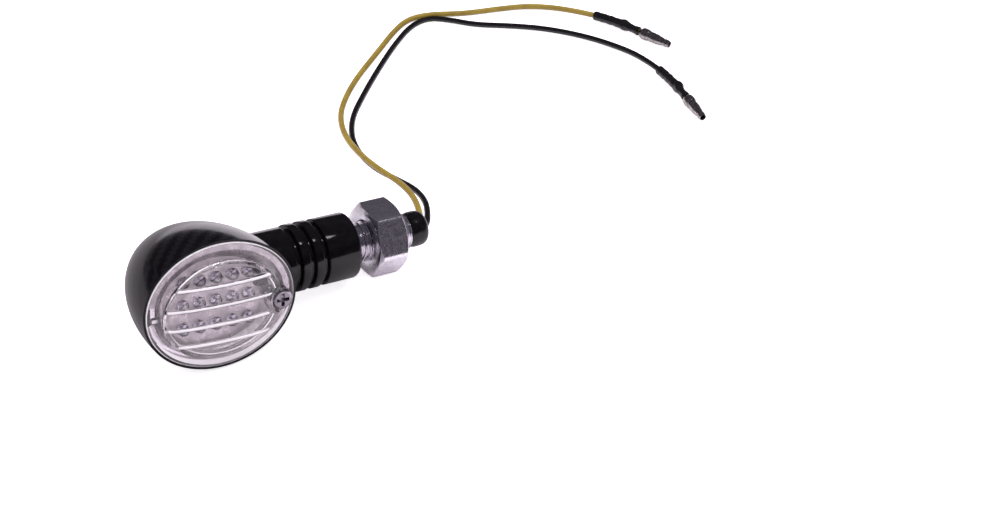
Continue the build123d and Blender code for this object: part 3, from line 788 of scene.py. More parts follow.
@dataclass
class Lead:
    """One wire from the plug to its sleeve and terminal.

    Attributes:
        polarity: Which wire it is.
        length: Length of the wire in metres.
        across: Millimetres from the stem's axis towards the lens.
        rise: Millimetres from the stem's axis up the lamp.
        elbow: Millimetres from the shoulder to its turn.
        insulation: Finish of the wire.
        plug_face: Millimetres from the shoulder to the plug's end face.
        entry: Millimetres from the shoulder to where the outer run begins.
        diameter: Outside diameter in millimetres.
        sleeve_length: Sleeve's length in millimetres.
        sleeve_radius: Sleeve's radius in millimetres.
        bulge_radius: Radius of the bulge over the crimp.
        terminal_bore: Radius of the terminal's open end.
        line: Points of the wire's middle line, in metres.
    """

    polarity: Polarity
    length: float
    across: float
    rise: float
    elbow: float
    insulation: Finish
    plug_face: float = 21.5
    entry: float = 18.5
    diameter: float = 1.6
    sleeve_length: float = 15.6
    sleeve_radius: float = 1.3
    bulge_radius: float = 1.66
    terminal_bore: float = 0.78
    line: list[Vector] = field(init=False, default_factory=list)

    def build(self) -> bpy.types.Object:
        """Draw the wire as one smooth line through its route.

        Returns:
            The wire, a curve with a round bevel.
        """
        points = [STEM.at(x, self.rise, self.across) for x in (self.entry, self.elbow)]
        points += [Vector(point) for point in ROUTES[self.polarity]]
        wire = spline_through(f"{self.polarity.value}_lead", points, resolution=10)
        self.line = read_line(wire)
        curve = wire.data
        curve.bevel_depth = self.diameter / 2 * MM
        curve.bevel_resolution = 6
        curve.use_fill_caps = True
        return wire

    def sleeve(self) -> bpy.types.Object:
        """Slide a shrunk sleeve over the wire's end, with a bulge over the crimp.

        Returns:
            The sleeve.
        """
        path = tail(self.line, self.sleeve_length * MM, 90)

        def outside(share: float, angle: float) -> float:
            """Return the radius in metres at a share of the length.

            Args:
                share: Share of the sleeve from its start.
                angle: Angle round the wire.

            Returns:
                The radius in metres.
            """
            along = share * self.sleeve_length
            left = self.sleeve_length - along
            radius = self.sleeve_radius
            side = 0.5 + 0.5 * math.cos(angle - 2.2)
            radius += (self.bulge_radius + 0.2 - radius) * side * bell(left, 5.6, 1.9)
            radius -= 0.2 * bell(left, 2.4, 2.2)
            radius -= 0.05 * math.sin(3 * angle + 2.1 * left) * bell(left, 4.5, 4.0)
            radius += 0.05 * math.sin(along * 2.6 + math.sin(angle) * 1.3) * bell(along, 6.0, 9.0)
            edge = min(along, left)
            radius -= 0.18 * max(0.0, 1 - edge / 0.35) ** 2
            return radius * MM

        return finish_mesh(f"{self.polarity.value}_lead_sleeve",
                           hose(path, outside, (self.diameter / 2 + 0.02) * MM, 28), Matrix())

    def terminal(self) -> bpy.types.Object:
        """Roll the bullet terminal, with its seam upwards and its end open.

        Returns:
            The terminal.
        """
        end, along = self.line[-1], (self.line[-1] - self.line[-2]).normalized()
        down = along.cross(Vector((0, 0, 1))).cross(along).normalized() * -1
        bore = self.terminal_bore
        outer = []
        for (x0, r0), (x1, r1) in zip(BULLET_PROFILE, BULLET_PROFILE[1:]):
            outer += [(x0 + (x1 - x0) * share, r0 + (r1 - r0) * smooth(share, 0, 1))
                      for share in (0.0, 0.25, 0.5, 0.75)]
        outer += [(10.7, 0.94), (10.75, bore + 0.06), (10.6, bore)]
        section = outer + [(6.0, bore), *BULLET_INSIDE]

        def rolled(x: float, radius: float, angle: float) -> Vector:
            """Return the point, with the rolled seam pressed in and the crimp squeezed.

            Args:
                x: Distance along the terminal.
                radius: Radius before the changes.
                angle: Angle round it.

            Returns:
                The point in the terminal's own axes.
            """
            seam = bell(math.remainder(angle - math.pi / 2, 2 * math.pi), 0.0, 0.16)
            squeeze = 1 + 0.16 * math.cos(2 * angle) * bell(x, 0.2, 1.2)
            reach = radius * squeeze - 0.16 * seam * smooth(x, 1.0, 1.6) * (radius > bore + 0.1)
            return around(x, reach, angle)

        return finish_mesh(f"{self.polarity.value}_bullet", lathe(section, 64, rolled),
                           Datum(end, along, down).matrix(), sharp=45)

    def dress(self) -> None:
        """Put the wire, its sleeve and its terminal in the scene with their finishes."""
        name = self.polarity.value
        wire = self.build()
        dress(wire, self.insulation)
        sleeve = self.sleeve()
        dress(sleeve, SLEEVING)
        terminal = self.terminal()
        dress(terminal, TINNED)
        for piece, node, slot in ((wire, f"{name}_wire", f"{name}_insulation"),
                                  (sleeve, f"{name}_sleeve", "black_sleeving"),
                                  (terminal, f"{name}_terminal", "tinned_brass")):
            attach(piece, "stem")
            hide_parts(node)
        STEM.at(self.plug_face, self.rise, self.across)
        LOG.info("%s lead, %.1f mm", name, self.length * 1000)


def bell(value: float, middle: float, half: float) -> float:
    """Return a smooth hump that is 1 in the middle and 0 past half a width."""
    away = min(abs(value - middle) / half, 1.0)
    return (1 - away**2) ** 2


def spline_through(name: str, points: Sequence[Vector], resolution: int) -> bpy.types.Object:
    """Link a curve with one smooth spline.

    Args:
        name: The curve's name.
        points: The spline's control points.
        resolution: Steps between two of them.

    Returns:
        The curve object, without a bevel.
    """
    curve = bpy.data.curves.new(name, "CURVE")
    curve.dimensions = "3D"
    spline = curve.splines.new("NURBS")
    spline.points.add(len(points) - 1)
    for slot, point in zip(spline.points, points):
        slot.co = (*point, 1.0)
    spline.order_u = 3
    spline.use_endpoint_u = True
    curve.resolution_u = resolution
    made = bpy.data.objects.new(name, curve)
    bpy.context.scene.collection.objects.link(made)
    return made


def read_line(curve_object: bpy.types.Object) -> list[Vector]:
    """Return the points of a curve that has no bevel yet.

    Args:
        curve_object: The linked curve.

    Returns:
        The points in order.
    """
    graph = bpy.context.evaluated_depsgraph_get()
    mesh = bpy.data.meshes.new_from_object(curve_object.evaluated_get(graph))
    line = [vertex.co.copy() for vertex in mesh.vertices]
    bpy.data.meshes.remove(mesh)
    return line


def tail(line: Sequence[Vector], length: float, count: int) -> list[Vector]:
    """Take the last stretch of a line at even spacing.

    Args:
        line: Points in order.
        length: Length of the stretch in the line's units.
        count: Number of points to return.

    Returns:
        Points from the stretch's start to the line's end.
    """
    reach = [0.0]
    for before, after in zip(line, line[1:]):
        reach.append(reach[-1] + (after - before).length)
    found = []
    for i in range(count):
        want = reach[-1] - length * (1 - i / (count - 1))
        k = max(j for j in range(len(reach) - 1) if reach[j] <= want + 1e-12)
        share = (want - reach[k]) / (reach[k + 1] - reach[k])
        found.append(line[k].lerp(line[k + 1], share))
    return found


def rounded(corners: Sequence[tuple[float, float, float]],
            steps: int = 5) -> list[tuple[float, float]]:
    """Round the corners of a closed section.

    Args:
        corners: Each corner's distance along X, radius from the axis, and rounding radius.
        steps: Points on each rounded corner.

    Returns:
        The section's points in order.
    """
    found = []
    for i, (x, r, blend) in enumerate(corners):
        at = Vector((x, r))
        if blend == 0:
            found.append((x, r))
            continue
        before = Vector(corners[i - 1][:2]) - at
        after = Vector(corners[(i + 1) % len(corners)][:2]) - at
        half = before.angle(after) / 2
        back = blend / math.tan(half)
        for k in range(steps):
            share = k / (steps - 1)
            start, end = at + before.normalized() * back, at + after.normalized() * back
            point = start.lerp(at, share).lerp(at.lerp(end, share), share)
            found.append((point.x, point.y))
    return found


# ---- stem, stud and nut ------------------------------------------------------------------
@dataclass
class RubberStem:
    """Grooved rubber stem: collar, bellows rings, neck against the egg, spigot inside it.

    Attributes:
        collar_radius: Radius of the collar.
        collar_length: Length of the collar from the shoulder.
        ring_radius: Radius of the rings between the grooves.
        groove_radius: Radius at a groove's floor.
        groove_width: Width of a groove.
        groove_pitch: Distance from groove to groove.
        neck_radius: Radius of the neck.
        spigot_radius: Radius of the spigot inside the housing.
        spigot_end: Where the spigot ends, from the shoulder.
        clip_seat: Where the clip's groove begins.
        clip_width: Width of that groove.
        clip_radius: Radius at its floor.
        bore_radius: Radius of the hole for the wires.
        stud_radius: Radius of the stud moulded in.
        flange_radius: Radius of the stud's flange.
        stud_root: Depth of the stud's root behind the shoulder.
        flange_thickness: Thickness of the stud's flange.
        egg: Half sizes of the housing's egg, and its depth.
        band: Depth of the straight band between the egg and the rim.
        gap: Clearance to the egg.
    """

    collar_radius: float = 8.325
    collar_length: float = 9.15
    ring_radius: float = 8.45
    groove_radius: float = 7.25
    groove_width: float = 1.3
    groove_pitch: float = 3.65
    neck_radius: float = 8.2
    spigot_radius: float = 5.5
    spigot_end: float = -34.8
    clip_seat: float = -30.55
    clip_width: float = 1.25
    clip_radius: float = 4.6
    bore_radius: float = 3.0
    stud_radius: float = 5.0
    flange_radius: float = 6.5
    stud_root: float = 7.0
    flange_thickness: float = 1.6
    egg: tuple[float, float, float] = (19.65, 16.5, 31.7)
    band: float = 0.8
    gap: float = 0.06

    def egg_x(self, y: float, z: float) -> float:
        """Return where a line along the stem meets the housing, from the shoulder.

        Args:
            y: The line's place up the lamp.
            z: Its place towards the lens.

        Returns:
            The distance along the stem.
        """
        to_rim = RIM.matrix().inverted() @ STEM.matrix()
        low, high = -36.0, -12.0
        for _ in range(30):
            middle = (low + high) / 2
            point = to_rim @ Vector((middle, y, z))
            deep = max(-point.z - self.band, 0.0)
            size = sum((value / (half + self.gap)) ** 2
                       for value, half in zip((point.x, point.y, deep), self.egg))
            low, high = (low, middle) if size > 1 else (middle, high)
        return high

    def section(self) -> list[tuple[float, float]]:
        """Return the section round the stem's axis, from the bore outwards.

        Returns:
            Pairs of distance along the stem and radius.
        """
        neck, ring = self.neck_radius, self.ring_radius
        spigot, clip_far = self.spigot_radius, self.clip_seat + self.clip_width
        corners = [
            (self.spigot_end, self.bore_radius, 0), (self.spigot_end, spigot, 0.5),
            (self.clip_seat, spigot, 0), (self.clip_seat, self.clip_radius, 0),
            (clip_far, self.clip_radius, 0), (clip_far, spigot, 0),
            (NECK_END, spigot + 0.1, 0), (NECK_END, neck, 0)]
        last = -self.collar_length - self.groove_width / 2 - 2 * self.groove_pitch
        for i in range(3):
            middle = last + i * self.groove_pitch
            left, right = middle - self.groove_width / 2, middle + self.groove_width / 2
            outer_left = neck if i == 0 else ring
            outer_right = self.collar_radius if i == 2 else ring
            corners += [(left - 0.1, outer_left, 0.35), (left + 0.22, self.groove_radius, 0.22),
                        (right - 0.22, self.groove_radius, 0.22), (right + 0.1, outer_right, 0.35)]
        root, flange = -self.stud_root, -self.stud_root + self.flange_thickness
        corners += [
            (-0.25, self.collar_radius, 0.85), (0.0, self.stud_radius + 0.25, 0.2),
            (-0.3, self.stud_radius, 0), (flange, self.stud_radius, 0),
            (flange, self.flange_radius, 0), (root, self.flange_radius, 0),
            (root, self.bore_radius, 0)]
        return rounded(corners)

    def build(self) -> bpy.types.Object:
        """Revolve the section, with the neck's end on the egg's surface.

        Returns:
            The stem.
        """
        def place(x: float, radius: float, angle: float) -> Vector:
            """Return the point, moved on to the egg at the neck's end."""
            y, z = radius * math.cos(angle), radius * math.sin(angle)
            return Vector((self.egg_x(y, z) if x == NECK_END else x, y, z))

        return finish_mesh("grooved_stem", lathe(self.section(), 96, place), STEM.matrix(),
                           sharp=50)

    def dress(self) -> None:
        """Put the stem in the scene."""
        stem = self.build()
        dress(stem, RUBBER)
        STEM.at(-9.0, 0, 0)
        STEM.at(-19.0, 0, 0)
        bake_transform(stem)
        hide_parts("rubber_stem")
        LOG.info("rubber stem")


@dataclass
class ThreadedStud:
    """Hollow M10 stud with a coarse thread and a flange inside the rubber.

    Attributes:
        radius: Radius over the thread.
        bore_radius: Radius of the hole for the wires.
        length: Length from the shoulder.
        root: Depth of its root behind the shoulder.
        flange_radius: Radius of the flange.
        flange_thickness: Thickness of the flange.
        pitch: Pitch of the thread.
        depth: Depth of the thread.
        chamfer: Width of the end's chamfer.
    """

    radius: float = 5.0
    bore_radius: float = 3.0
    length: float = 16.2
    root: float = 7.0
    flange_radius: float = 6.5
    flange_thickness: float = 1.6
    pitch: float = 1.5
    depth: float = 0.85
    chamfer: float = 0.8

    def build(self) -> bpy.types.Object:
        """Turn the bar and cut its thread.

        Returns:
            The stud, with its finish.
        """
        flange = -self.root + self.flange_thickness
        rows = round(self.length / 0.125)
        section = [(-self.root, self.bore_radius), (-self.root, self.flange_radius),
                   (flange, self.flange_radius), (flange, self.radius)]
        section += [(self.length * i / rows, self.radius) for i in range(rows + 1)]
        section += [(self.length, self.bore_radius + 0.3), (self.length - 0.3, self.bore_radius)]
        stud = raw_object("threaded_stud", lathe(section, 72))
        run_tree(stud, thread_tree(ZINC_THREAD), {
            "Radius": self.radius, "Depth": self.depth, "Pitch": self.pitch, "Length": self.length,
            "Chamfer": self.chamfer, "Bore": self.bore_radius})
        return finish_object(stud, STEM.matrix(), sharp=80)

    def dress(self) -> None:
        """Put the stud in the scene."""
        stud = self.build()
        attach(stud, "stem")
        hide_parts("stud")
        LOG.info("threaded stud, pitch %.2f mm", self.pitch)


@dataclass
class HexNut:
    """Plain hex nut with its corners turned off at both ends.

    Attributes:
        flats: Width across flats.
        height: Height of the nut.
        near_face: Where its near face is, from the shoulder.
        bore_radius: Radius of its bore.
        chamfer_angle: Degrees of the turned corners.
        softness: How far the flats and the chamfers run into each other.
    """

    flats: float = 17.0
    height: float = 8.0
    near_face: float = 4.56
    bore_radius: float = 5.05
    chamfer_angle: float = 30.0
    softness: float = 0.07

    def outside(self, x: float, angle: float) -> float:
        """Return the radius at a distance from the near face and an angle.

        Args:
            x: Distance from the near face.
            angle: Angle round the stud.

        Returns:
            The radius.
        """
        apothem = self.flats / 2
        faces = (math.cos(angle - HEAD_ROLL - k * math.pi / 3) for k in range(6))
        hexagon = apothem / sum(max(face, 0.0) ** 30 for face in faces) ** (1 / 30)
        end = min(x, self.height - x)
        cone = apothem - 0.02 + end / math.tan(math.radians(self.chamfer_angle))
        soft = self.softness
        total = sum(math.exp((apothem - reach) / soft) for reach in (hexagon, cone))
        return apothem - soft * math.log(total)

    def build(self) -> bpy.types.Object:
        """Build the nut on a fine grid, so that its edges are a little round.

        Returns:
            The nut.
        """
        ends = [0.0, 0.02, 0.06, 0.12, 0.2, 0.3, 0.4, 0.5, 0.6, 0.7, 0.8, 0.95, 1.2]
        places = ends + [2.0, 4.0, 6.0] + [self.height - x for x in reversed(ends)]
        section = [(self.near_face + x, -1.0) for x in places]
        bore = self.bore_radius
        near, far = self.near_face, self.near_face + self.height
        section += [(far, bore + 0.45), (far - 0.4, bore), (near + 0.4, bore), (near, bore + 0.45)]

        def place(x: float, radius: float, angle: float) -> Vector:
            """Return the point on the hexagon, or in the bore."""
            reach = self.outside(x - near, angle) if radius < 0 else radius
            return around(x, reach, angle)

        return finish_mesh("plated_nut", lathe(section, 360, place), STEM.matrix(), sharp=55)

    def dress(self) -> None:
        """Put the nut in the scene."""
        nut = self.build()
        dress(nut, ZINC)
        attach(nut, "nut")
        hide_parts("hex_nut")
        LOG.info("hex nut, %.0f mm across flats", self.flats)


@dataclass
class EndPlug:
    """Egg-shaped rubber plug in the stud's end, moulded round the wires.

    Attributes:
        neck: Where its neck begins in the stud's bore, from the shoulder.
        neck_radius: Radius of the neck.
        seat: Where it meets the stud's end.
        middle: Where it is widest.
        face: Where its end is.
        radius: Its greatest radius.
        seat_radius: Its radius at the stud's end.
        power: How square the rounded end is; 2 is an ellipse.
        rows: Rings in each half.
    """

    neck: float = 11.2
    neck_radius: float = 2.95
    seat: float = 16.2
    middle: float = 18.1
    face: float = 21.5
    radius: float = 4.5
    seat_radius: float = 4.05
    power: float = 3.8
    rows: int = 16

    def profile(self) -> list[tuple[float, float]]:
        """Return the plug's radius from the neck to the end.

        Returns:
            Pairs of distance from the shoulder and radius.
        """
        found = [(self.neck, self.neck_radius - 0.3), (self.neck + 0.3, self.neck_radius),
                 (self.seat, self.neck_radius)]
        for k in range(self.rows + 1):
            share = k / self.rows
            fall = (self.radius - self.seat_radius) * (1 - share) ** 2
            found.append((self.seat + (self.middle - self.seat) * share, self.radius - fall))
        for k in range(1, self.rows + 1):
            share = math.sin(math.pi / 2 * k / self.rows) * 0.985
            radius = self.radius * (1 - share ** self.power) ** (1 / self.power)
            found.append((self.middle + (self.face - self.middle) * share / 0.985, radius))
        return found

    def build(self) -> bpy.types.Object:
        """Revolve the plug's profile.

        Returns:
            The plug.
        """
        angles = [2 * math.pi * k / 56 for k in range(56)]
        rows = [[around(x, radius, a) for a in angles] for x, radius in self.profile()]
        return finish_mesh("wire_grommet", rings(rows, loop=False), STEM.matrix(), sharp=50)

    def dress(self) -> None:
        """Put the plug in the scene."""
        plug = self.build()
        dress(plug, SOFT_RUBBER)
        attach(plug, "stem")
        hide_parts("end_plug")
        LOG.info("end plug")


# ---- lens and lamps ----------------------------------------------------------------------
@dataclass
class LensCover:
    """Clear cover: flange, domed window with rounded ribs, cup for the screw, hook.

    Attributes:
        half: Half sizes of the flange.
        front: Height of the flange's front over the rim.
        thickness: Thickness of the flange.
        margin: Width of the flat flange round the dome.
        step: Straight rise at the dome's foot.
        rise: Height of the dome over that.
        wall: Thickness of the dome.
        drop: How far the dome's middle is below the flange's.
        ribs: Heights of the ribs' middles.
        rib_half: Half of a rib's width.
        rib_rise: How far a rib stands out.
        screw: Where the screw is.
        recess_radius: Radius of the screw's recess.
        cup_wall: Wall round the recess.
        recess_floor: Height of the recess's floor.
        screw_hole: Radius of the screw's hole.
        hook_x: How far from the middle the hook stands.
        hook_thickness: Thickness of the hook.
        hook_width: Its width.
        hook_length: How far it reaches behind the flange.
        nib: How far its nib stands out.
        land_sweep: Angles in degrees where the crescent with its painted highlight begins and ends.
        land_inset: How far it lies inside the flange's edge.
        land_width: Its greatest width.
        land_rise: How far it stands over the flange.
    """

    half: tuple[float, float] = (19.0, 15.85)
    front: float = 0.3
    thickness: float = 1.6
    margin: float = 3.6
    step: float = 0.8
    rise: float = 2.4
    wall: float = 1.4
    drop: float = 0.65
    ribs: tuple[float, ...] = (6.55, 1.7, -3.2, -8.0)
    rib_half: float = 0.6
    rib_rise: float = 0.32
    screw: tuple[float, float] = (15.5, -1.2)
    recess_radius: float = 3.2
    recess_floor: float = -0.1
    cup_wall: float = 0.8
    screw_hole: float = 1.45
    hook_x: float = 17.15
    hook_thickness: float = 1.2
    hook_width: float = 4.0
    hook_length: float = 3.8
    nib: float = 0.8
    land_sweep: tuple[float, float] = (205.0, 352.0)
    land_inset: float = 0.75
    land_width: float = 1.5
    land_rise: float = 0.06

    def rib_height(self, x: float, y: float, edge: float) -> float:
        """Return how far the ribs lift the dome at a point.

        Args:
            x: Millimetres along the lens.
            y: Millimetres up the lens.
            edge: Share of the way from the middle to the dome's edge.

        Returns:
            The lift in millimetres.
        """
        near = min(abs(y - rib) for rib in self.ribs)
        hump = bell(near, 0.0, self.rib_half)
        inside = smooth((1 - edge) * (self.half[1] - self.margin), 0.05, 0.9)
        reach = math.hypot(x - self.screw[0], y - self.screw[1])
        reach -= self.recess_radius + self.cup_wall
        return self.rib_rise * hump * inside * smooth(reach, 0.1, 1.1)

    def button(self, half: tuple[float, float], foot: float, shoulder: float, rise: float,
               rows: int, columns: int, ribbed: bool) -> bpy.types.Object:
        """Build a solid oval with a domed top.

        Args:
            half: Its half sizes.
            foot: Height of its flat underside.
            shoulder: Height where the dome begins.
            rise: Height of the dome.
            rows: Rows up the lens.
            columns: Columns along it.
            ribbed: Whether the ribs stand on it.

        Returns:
            The raw solid.
        """
        bm = bmesh.new()
        bands = []
        for i in range(1, rows):
            up = math.pi * (i / rows - 0.5)
            band = []
            for j in range(columns + 1):
                side = math.pi * (j / columns - 0.5)
                x = half[0] * math.cos(up) * math.sin(side)
                y = half[1] * math.sin(up) - self.drop
                edge = math.sqrt(math.sin(up) ** 2 + (math.cos(up) * math.sin(side)) ** 2)
                lift = self.rib_height(x, y, edge) if ribbed else 0.0
                height = shoulder + rise * math.cos(up) * math.cos(side) + lift
                band.append(bm.verts.new((x, y, height)))
            bands.append(band)
        poles = [bm.verts.new((0, end * half[1] - self.drop, shoulder)) for end in (-1, 1)]
        for low, high in zip(bands, bands[1:]):
            for j in range(columns):
                bm.faces.new((low[j], low[j + 1], high[j + 1], high[j]))
        for pole, band in zip(poles, (bands[0], bands[-1])):
            for j in range(columns):
                bm.faces.new((pole, band[j], band[j + 1]))
        rim = [poles[0], *(band[-1] for band in bands),
               poles[1], *(band[0] for band in reversed(bands))]
        floor = [bm.verts.new((vert.co.x, vert.co.y, foot)) for vert in rim]
        for i in range(len(rim)):
            j = (i + 1) % len(rim)
            bm.faces.new((rim[i], rim[j], floor[j], floor[i]))
        bm.faces.new(floor)
        return raw_object("dome", bm)

    def flange(self) -> bpy.types.Object:
        """Build the oval plate with rounded edges.

        Returns:
            The raw plate.
        """
        edge, steps = 0.42, 6
        rows = []
        back = self.front - self.thickness
        for k in range(steps + 1):
            turn = math.pi / 2 * k / steps
            rows.append(oval(self.half, edge * (1 - math.sin(turn)) * 0.5,
                             back + edge * 0.5 * (1 - math.cos(turn)), 192))
        for k in range(steps + 1):
            turn = math.pi / 2 * k / steps
            rows.append(oval(self.half, edge * (1 - math.cos(turn)),
                             self.front - edge * (1 - math.sin(turn)), 192))
        return raw_object("lens_cover", rings(rows, loop=False))

    def build(self) -> bpy.types.Object:
        """Join the flange, dome and hook, and cut the inside, the recess and the screw hole.

        Returns:
            The cover, with its two finishes.
        """
        back = self.front - self.thickness
        outer = (self.half[0] - self.margin, self.half[1] - self.margin + 0.35)
        inner = (outer[0] - self.wall, outer[1] - self.wall)
        cover = self.flange()
        combine(cover, self.button(outer, self.front - 0.6, self.front + self.step, self.rise,
                                   300, 72, True), Cut.ADD)
        hollow = self.button(inner, back - 1.0, self.front + 0.1,
                             self.step + self.rise - self.wall, 64, 64, False)
        cup_radius = self.recess_radius + self.cup_wall
        combine(hollow, post(self.screw, cup_radius, back - 2.0, 8.0, 64), Cut.TAKE)
        combine(cover, hollow, Cut.TAKE)
        floor = self.recess_floor
        combine(cover, post(self.screw, self.recess_radius, floor, 8.0, 64), Cut.TAKE)
        combine(cover, post(self.screw, self.screw_hole, back - 1.0, floor + 1.0, 40), Cut.TAKE)
        combine(cover, self.hook(), Cut.ADD)
        combine(cover, self.land(), Cut.ADD)
        # Frosted near-white faces paint the highlights that the clear lens shows on its ribs, edges
        # and lower crescent.
        cover.data.materials.clear()
        for finish in (POLYCARBONATE, FROSTED_HIGHLIGHT):
            cover.data.materials.append(finish.material())
        for face in cover.data.polygons:
            face.material_index = int(self.painted_highlight_face(face.center))
        return finish_object(cover, RIM.matrix(), sharp=32)

    def painted_highlight_face(self, point: Vector) -> bool:
        """Return whether a point takes the frosted finish that paints highlights: a rib's crest,
        the flange's edge or back, the hook, or the crescent's top.

        Args:
            point: Middle of a face in the rim's axes.

        Returns:
            True where the frosted finish paints a highlight.
        """
        rim = math.hypot(point.x / (self.half[0] - 0.26), point.y / (self.half[1] - 0.26))
        if point.z < self.front - self.thickness - 0.05 or rim > 1:
            return True
        if self.front + self.land_rise * 0.9 < point.z < self.front + self.land_rise * 1.1:
            return point.y < 0
        across = (point.x / (self.half[0] - self.margin),
                  (point.y + self.drop) / (self.half[1] - self.margin + 0.35))
        edge = min(math.hypot(*across), 1.0)
        skin = self.front + self.step * 0.5 + (self.rise - 0.2) * math.sqrt(1 - edge * edge)
        return point.z > skin and self.rib_height(point.x, point.y, edge) > self.rib_rise * 0.5

    def land(self) -> bpy.types.Object:
        """Build the crescent that stands on the flange's lower half, whose frosted top paints a
        highlight.

        Returns:
            The raw crescent.
        """
        rows = []
        for k in range(97):
            start, end = self.land_sweep
            turn = math.radians(start + (end - start) * k / 96)
            share = 0.05 + 0.95 * math.sin(math.pi * k / 96) ** 0.7
            outer = on_oval([half - self.land_inset for half in self.half], turn)
            inner = outer * (1 - self.land_width * share / outer.length)
            low, high = self.front - 0.2, self.front + self.land_rise
            rows.append([Vector((*outer, low)), Vector((*outer, high)), Vector((*inner, high)),
                         Vector((*inner, low))])
        return raw_object("land", rings(rows, loop=False))

    def hook(self) -> bpy.types.Object:
        """Build the hook that holds the cover's far end under the rim.

        Returns:
            The raw hook.
        """
        back = self.front - self.thickness
        low, inner = back - self.hook_length, self.hook_thickness
        section = [(-self.hook_x, back + 0.3), (-self.hook_x, low + 1.0),
                   (-self.hook_x - self.nib, low + 0.8), (-self.hook_x - self.nib, low + 0.1),
                   (-self.hook_x - self.nib + 0.2, low), (-self.hook_x + inner, low),
                   (-self.hook_x + inner, back + 0.3)]
        half = self.hook_width / 2
        rows = [[Vector((x, y, z)) for x, z in section] for y in (-half, half)]
        return raw_object("hook", rings(rows, loop=False))

    def dress(self) -> None:
        """Put the cover in the scene."""
        cover = self.build()
        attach(cover, "head")
        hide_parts("lens")
        LOG.info("lens cover with %d ribs", len(self.ribs))


@dataclass
class ReflectorTrim:
    """What lies on the silvered pan: the bright strip under the flange and two black pads of
    painted dark reflection.

    Attributes:
        outside: Half sizes of the strip's outer edge.
        inside: Half sizes of its inner edge.
        height: Height of the strip's underside.
        depth: Thickness of the strip.
        sweep: Angles in degrees where the strip begins and ends.
        tabs: Middle and sizes of each bright tab at the hook.
        pads: Middle, half sizes and turn in degrees of each black pad of painted dark reflection.
        pad_height: Height of the pads' feet.
        lip: Width of the strip's folded lip against its flat part.
        wall_slope: Fall of the pan's wall for each millimetre inwards.
    """

    outside: tuple[float, float] = (18.0, 14.85)
    inside: tuple[float, float] = (16.6, 12.95)
    height: float = -1.345
    depth: float = 0.035
    sweep: tuple[float, float] = (188.0, 352.0)
    tabs: tuple[tuple[float, float, float, float], ...] = (
        (-17.0, 1.1, 1.1, 2.4), (-16.2, -1.2, 1.9, 0.9))
    pads: tuple[tuple[float, float, float, float, float], ...] = (
        (11.7, 2.7, 2.1, 1.35, 8.0), (10.7, 5.9, 1.5, 1.1, -35.0))
    pad_height: float = -3.35
    lip: float = 1.0
    wall_slope: float = 1.25

    def strip(self) -> bpy.types.Object:
        """Build the strip as a crescent that thins out at both ends.

        Returns:
            The strip with its tabs.
        """
        rows = []
        for k in range(81):
            start, end = self.sweep
            turn = math.radians(start + (end - start) * k / 80)
            fat = 0.04 + 0.96 * math.sin(math.pi * k / 80) ** 0.6
            outer, inner = on_oval(self.outside, turn), on_oval(self.inside, turn)
            mouth = outer.lerp(inner, fat)
            lip = outer.lerp(inner, 1 + self.lip * fat)
            drop = self.lip * fat * (outer - inner).length * self.wall_slope
            low, high = self.height, self.height + self.depth
            rows.append([Vector((*point, z)) for point, z in (
                (outer, low), (outer, high), (mouth, high), (lip, high - drop), (lip, low - drop),
                (mouth, low))])
        bm = rings(rows, loop=False)
        for x, y, long, short in self.tabs:
            middle = Matrix.Translation((x, y, self.height + self.depth / 2))
            bmesh.ops.create_cube(bm, size=1.0, matrix=middle @ Matrix.Diagonal(
                (long, short, self.depth, 1)))
        return finish_mesh("reflex_strip", bm, RIM.matrix())

    def dark_reflection_pads(self) -> bpy.types.Object:
        """Build the black pads, which paint a dark reflection on the pan.
        """
        parts = []
        foot = self.pad_height
        for x, y, long, short, turn in self.pads:
            part = rings([oval((long, short), inset, z, 40) for inset, z in (
                (0.0, foot), (0.0, foot + 0.1), (0.1, foot + 0.16))], loop=False)
            part.transform(Matrix.Translation((x, y, 0)) @ Matrix.Rotation(
                math.radians(turn), 4, "Z"))
            parts.append(part)
        return finish_mesh("painted_reflection_pads", joined(parts), RIM.matrix())

    def dress(self) -> None:
        """Put the strip and the pads in the scene."""
        for piece, finish, slot in ((self.strip(), FOIL, "silvered_plastic"),
                                    (self.dark_reflection_pads(), DARK_REFLECTION_PAD, "black_rubber")):
            dress(piece, finish)
            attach(piece, "head")
        LOG.info("reflector trim")


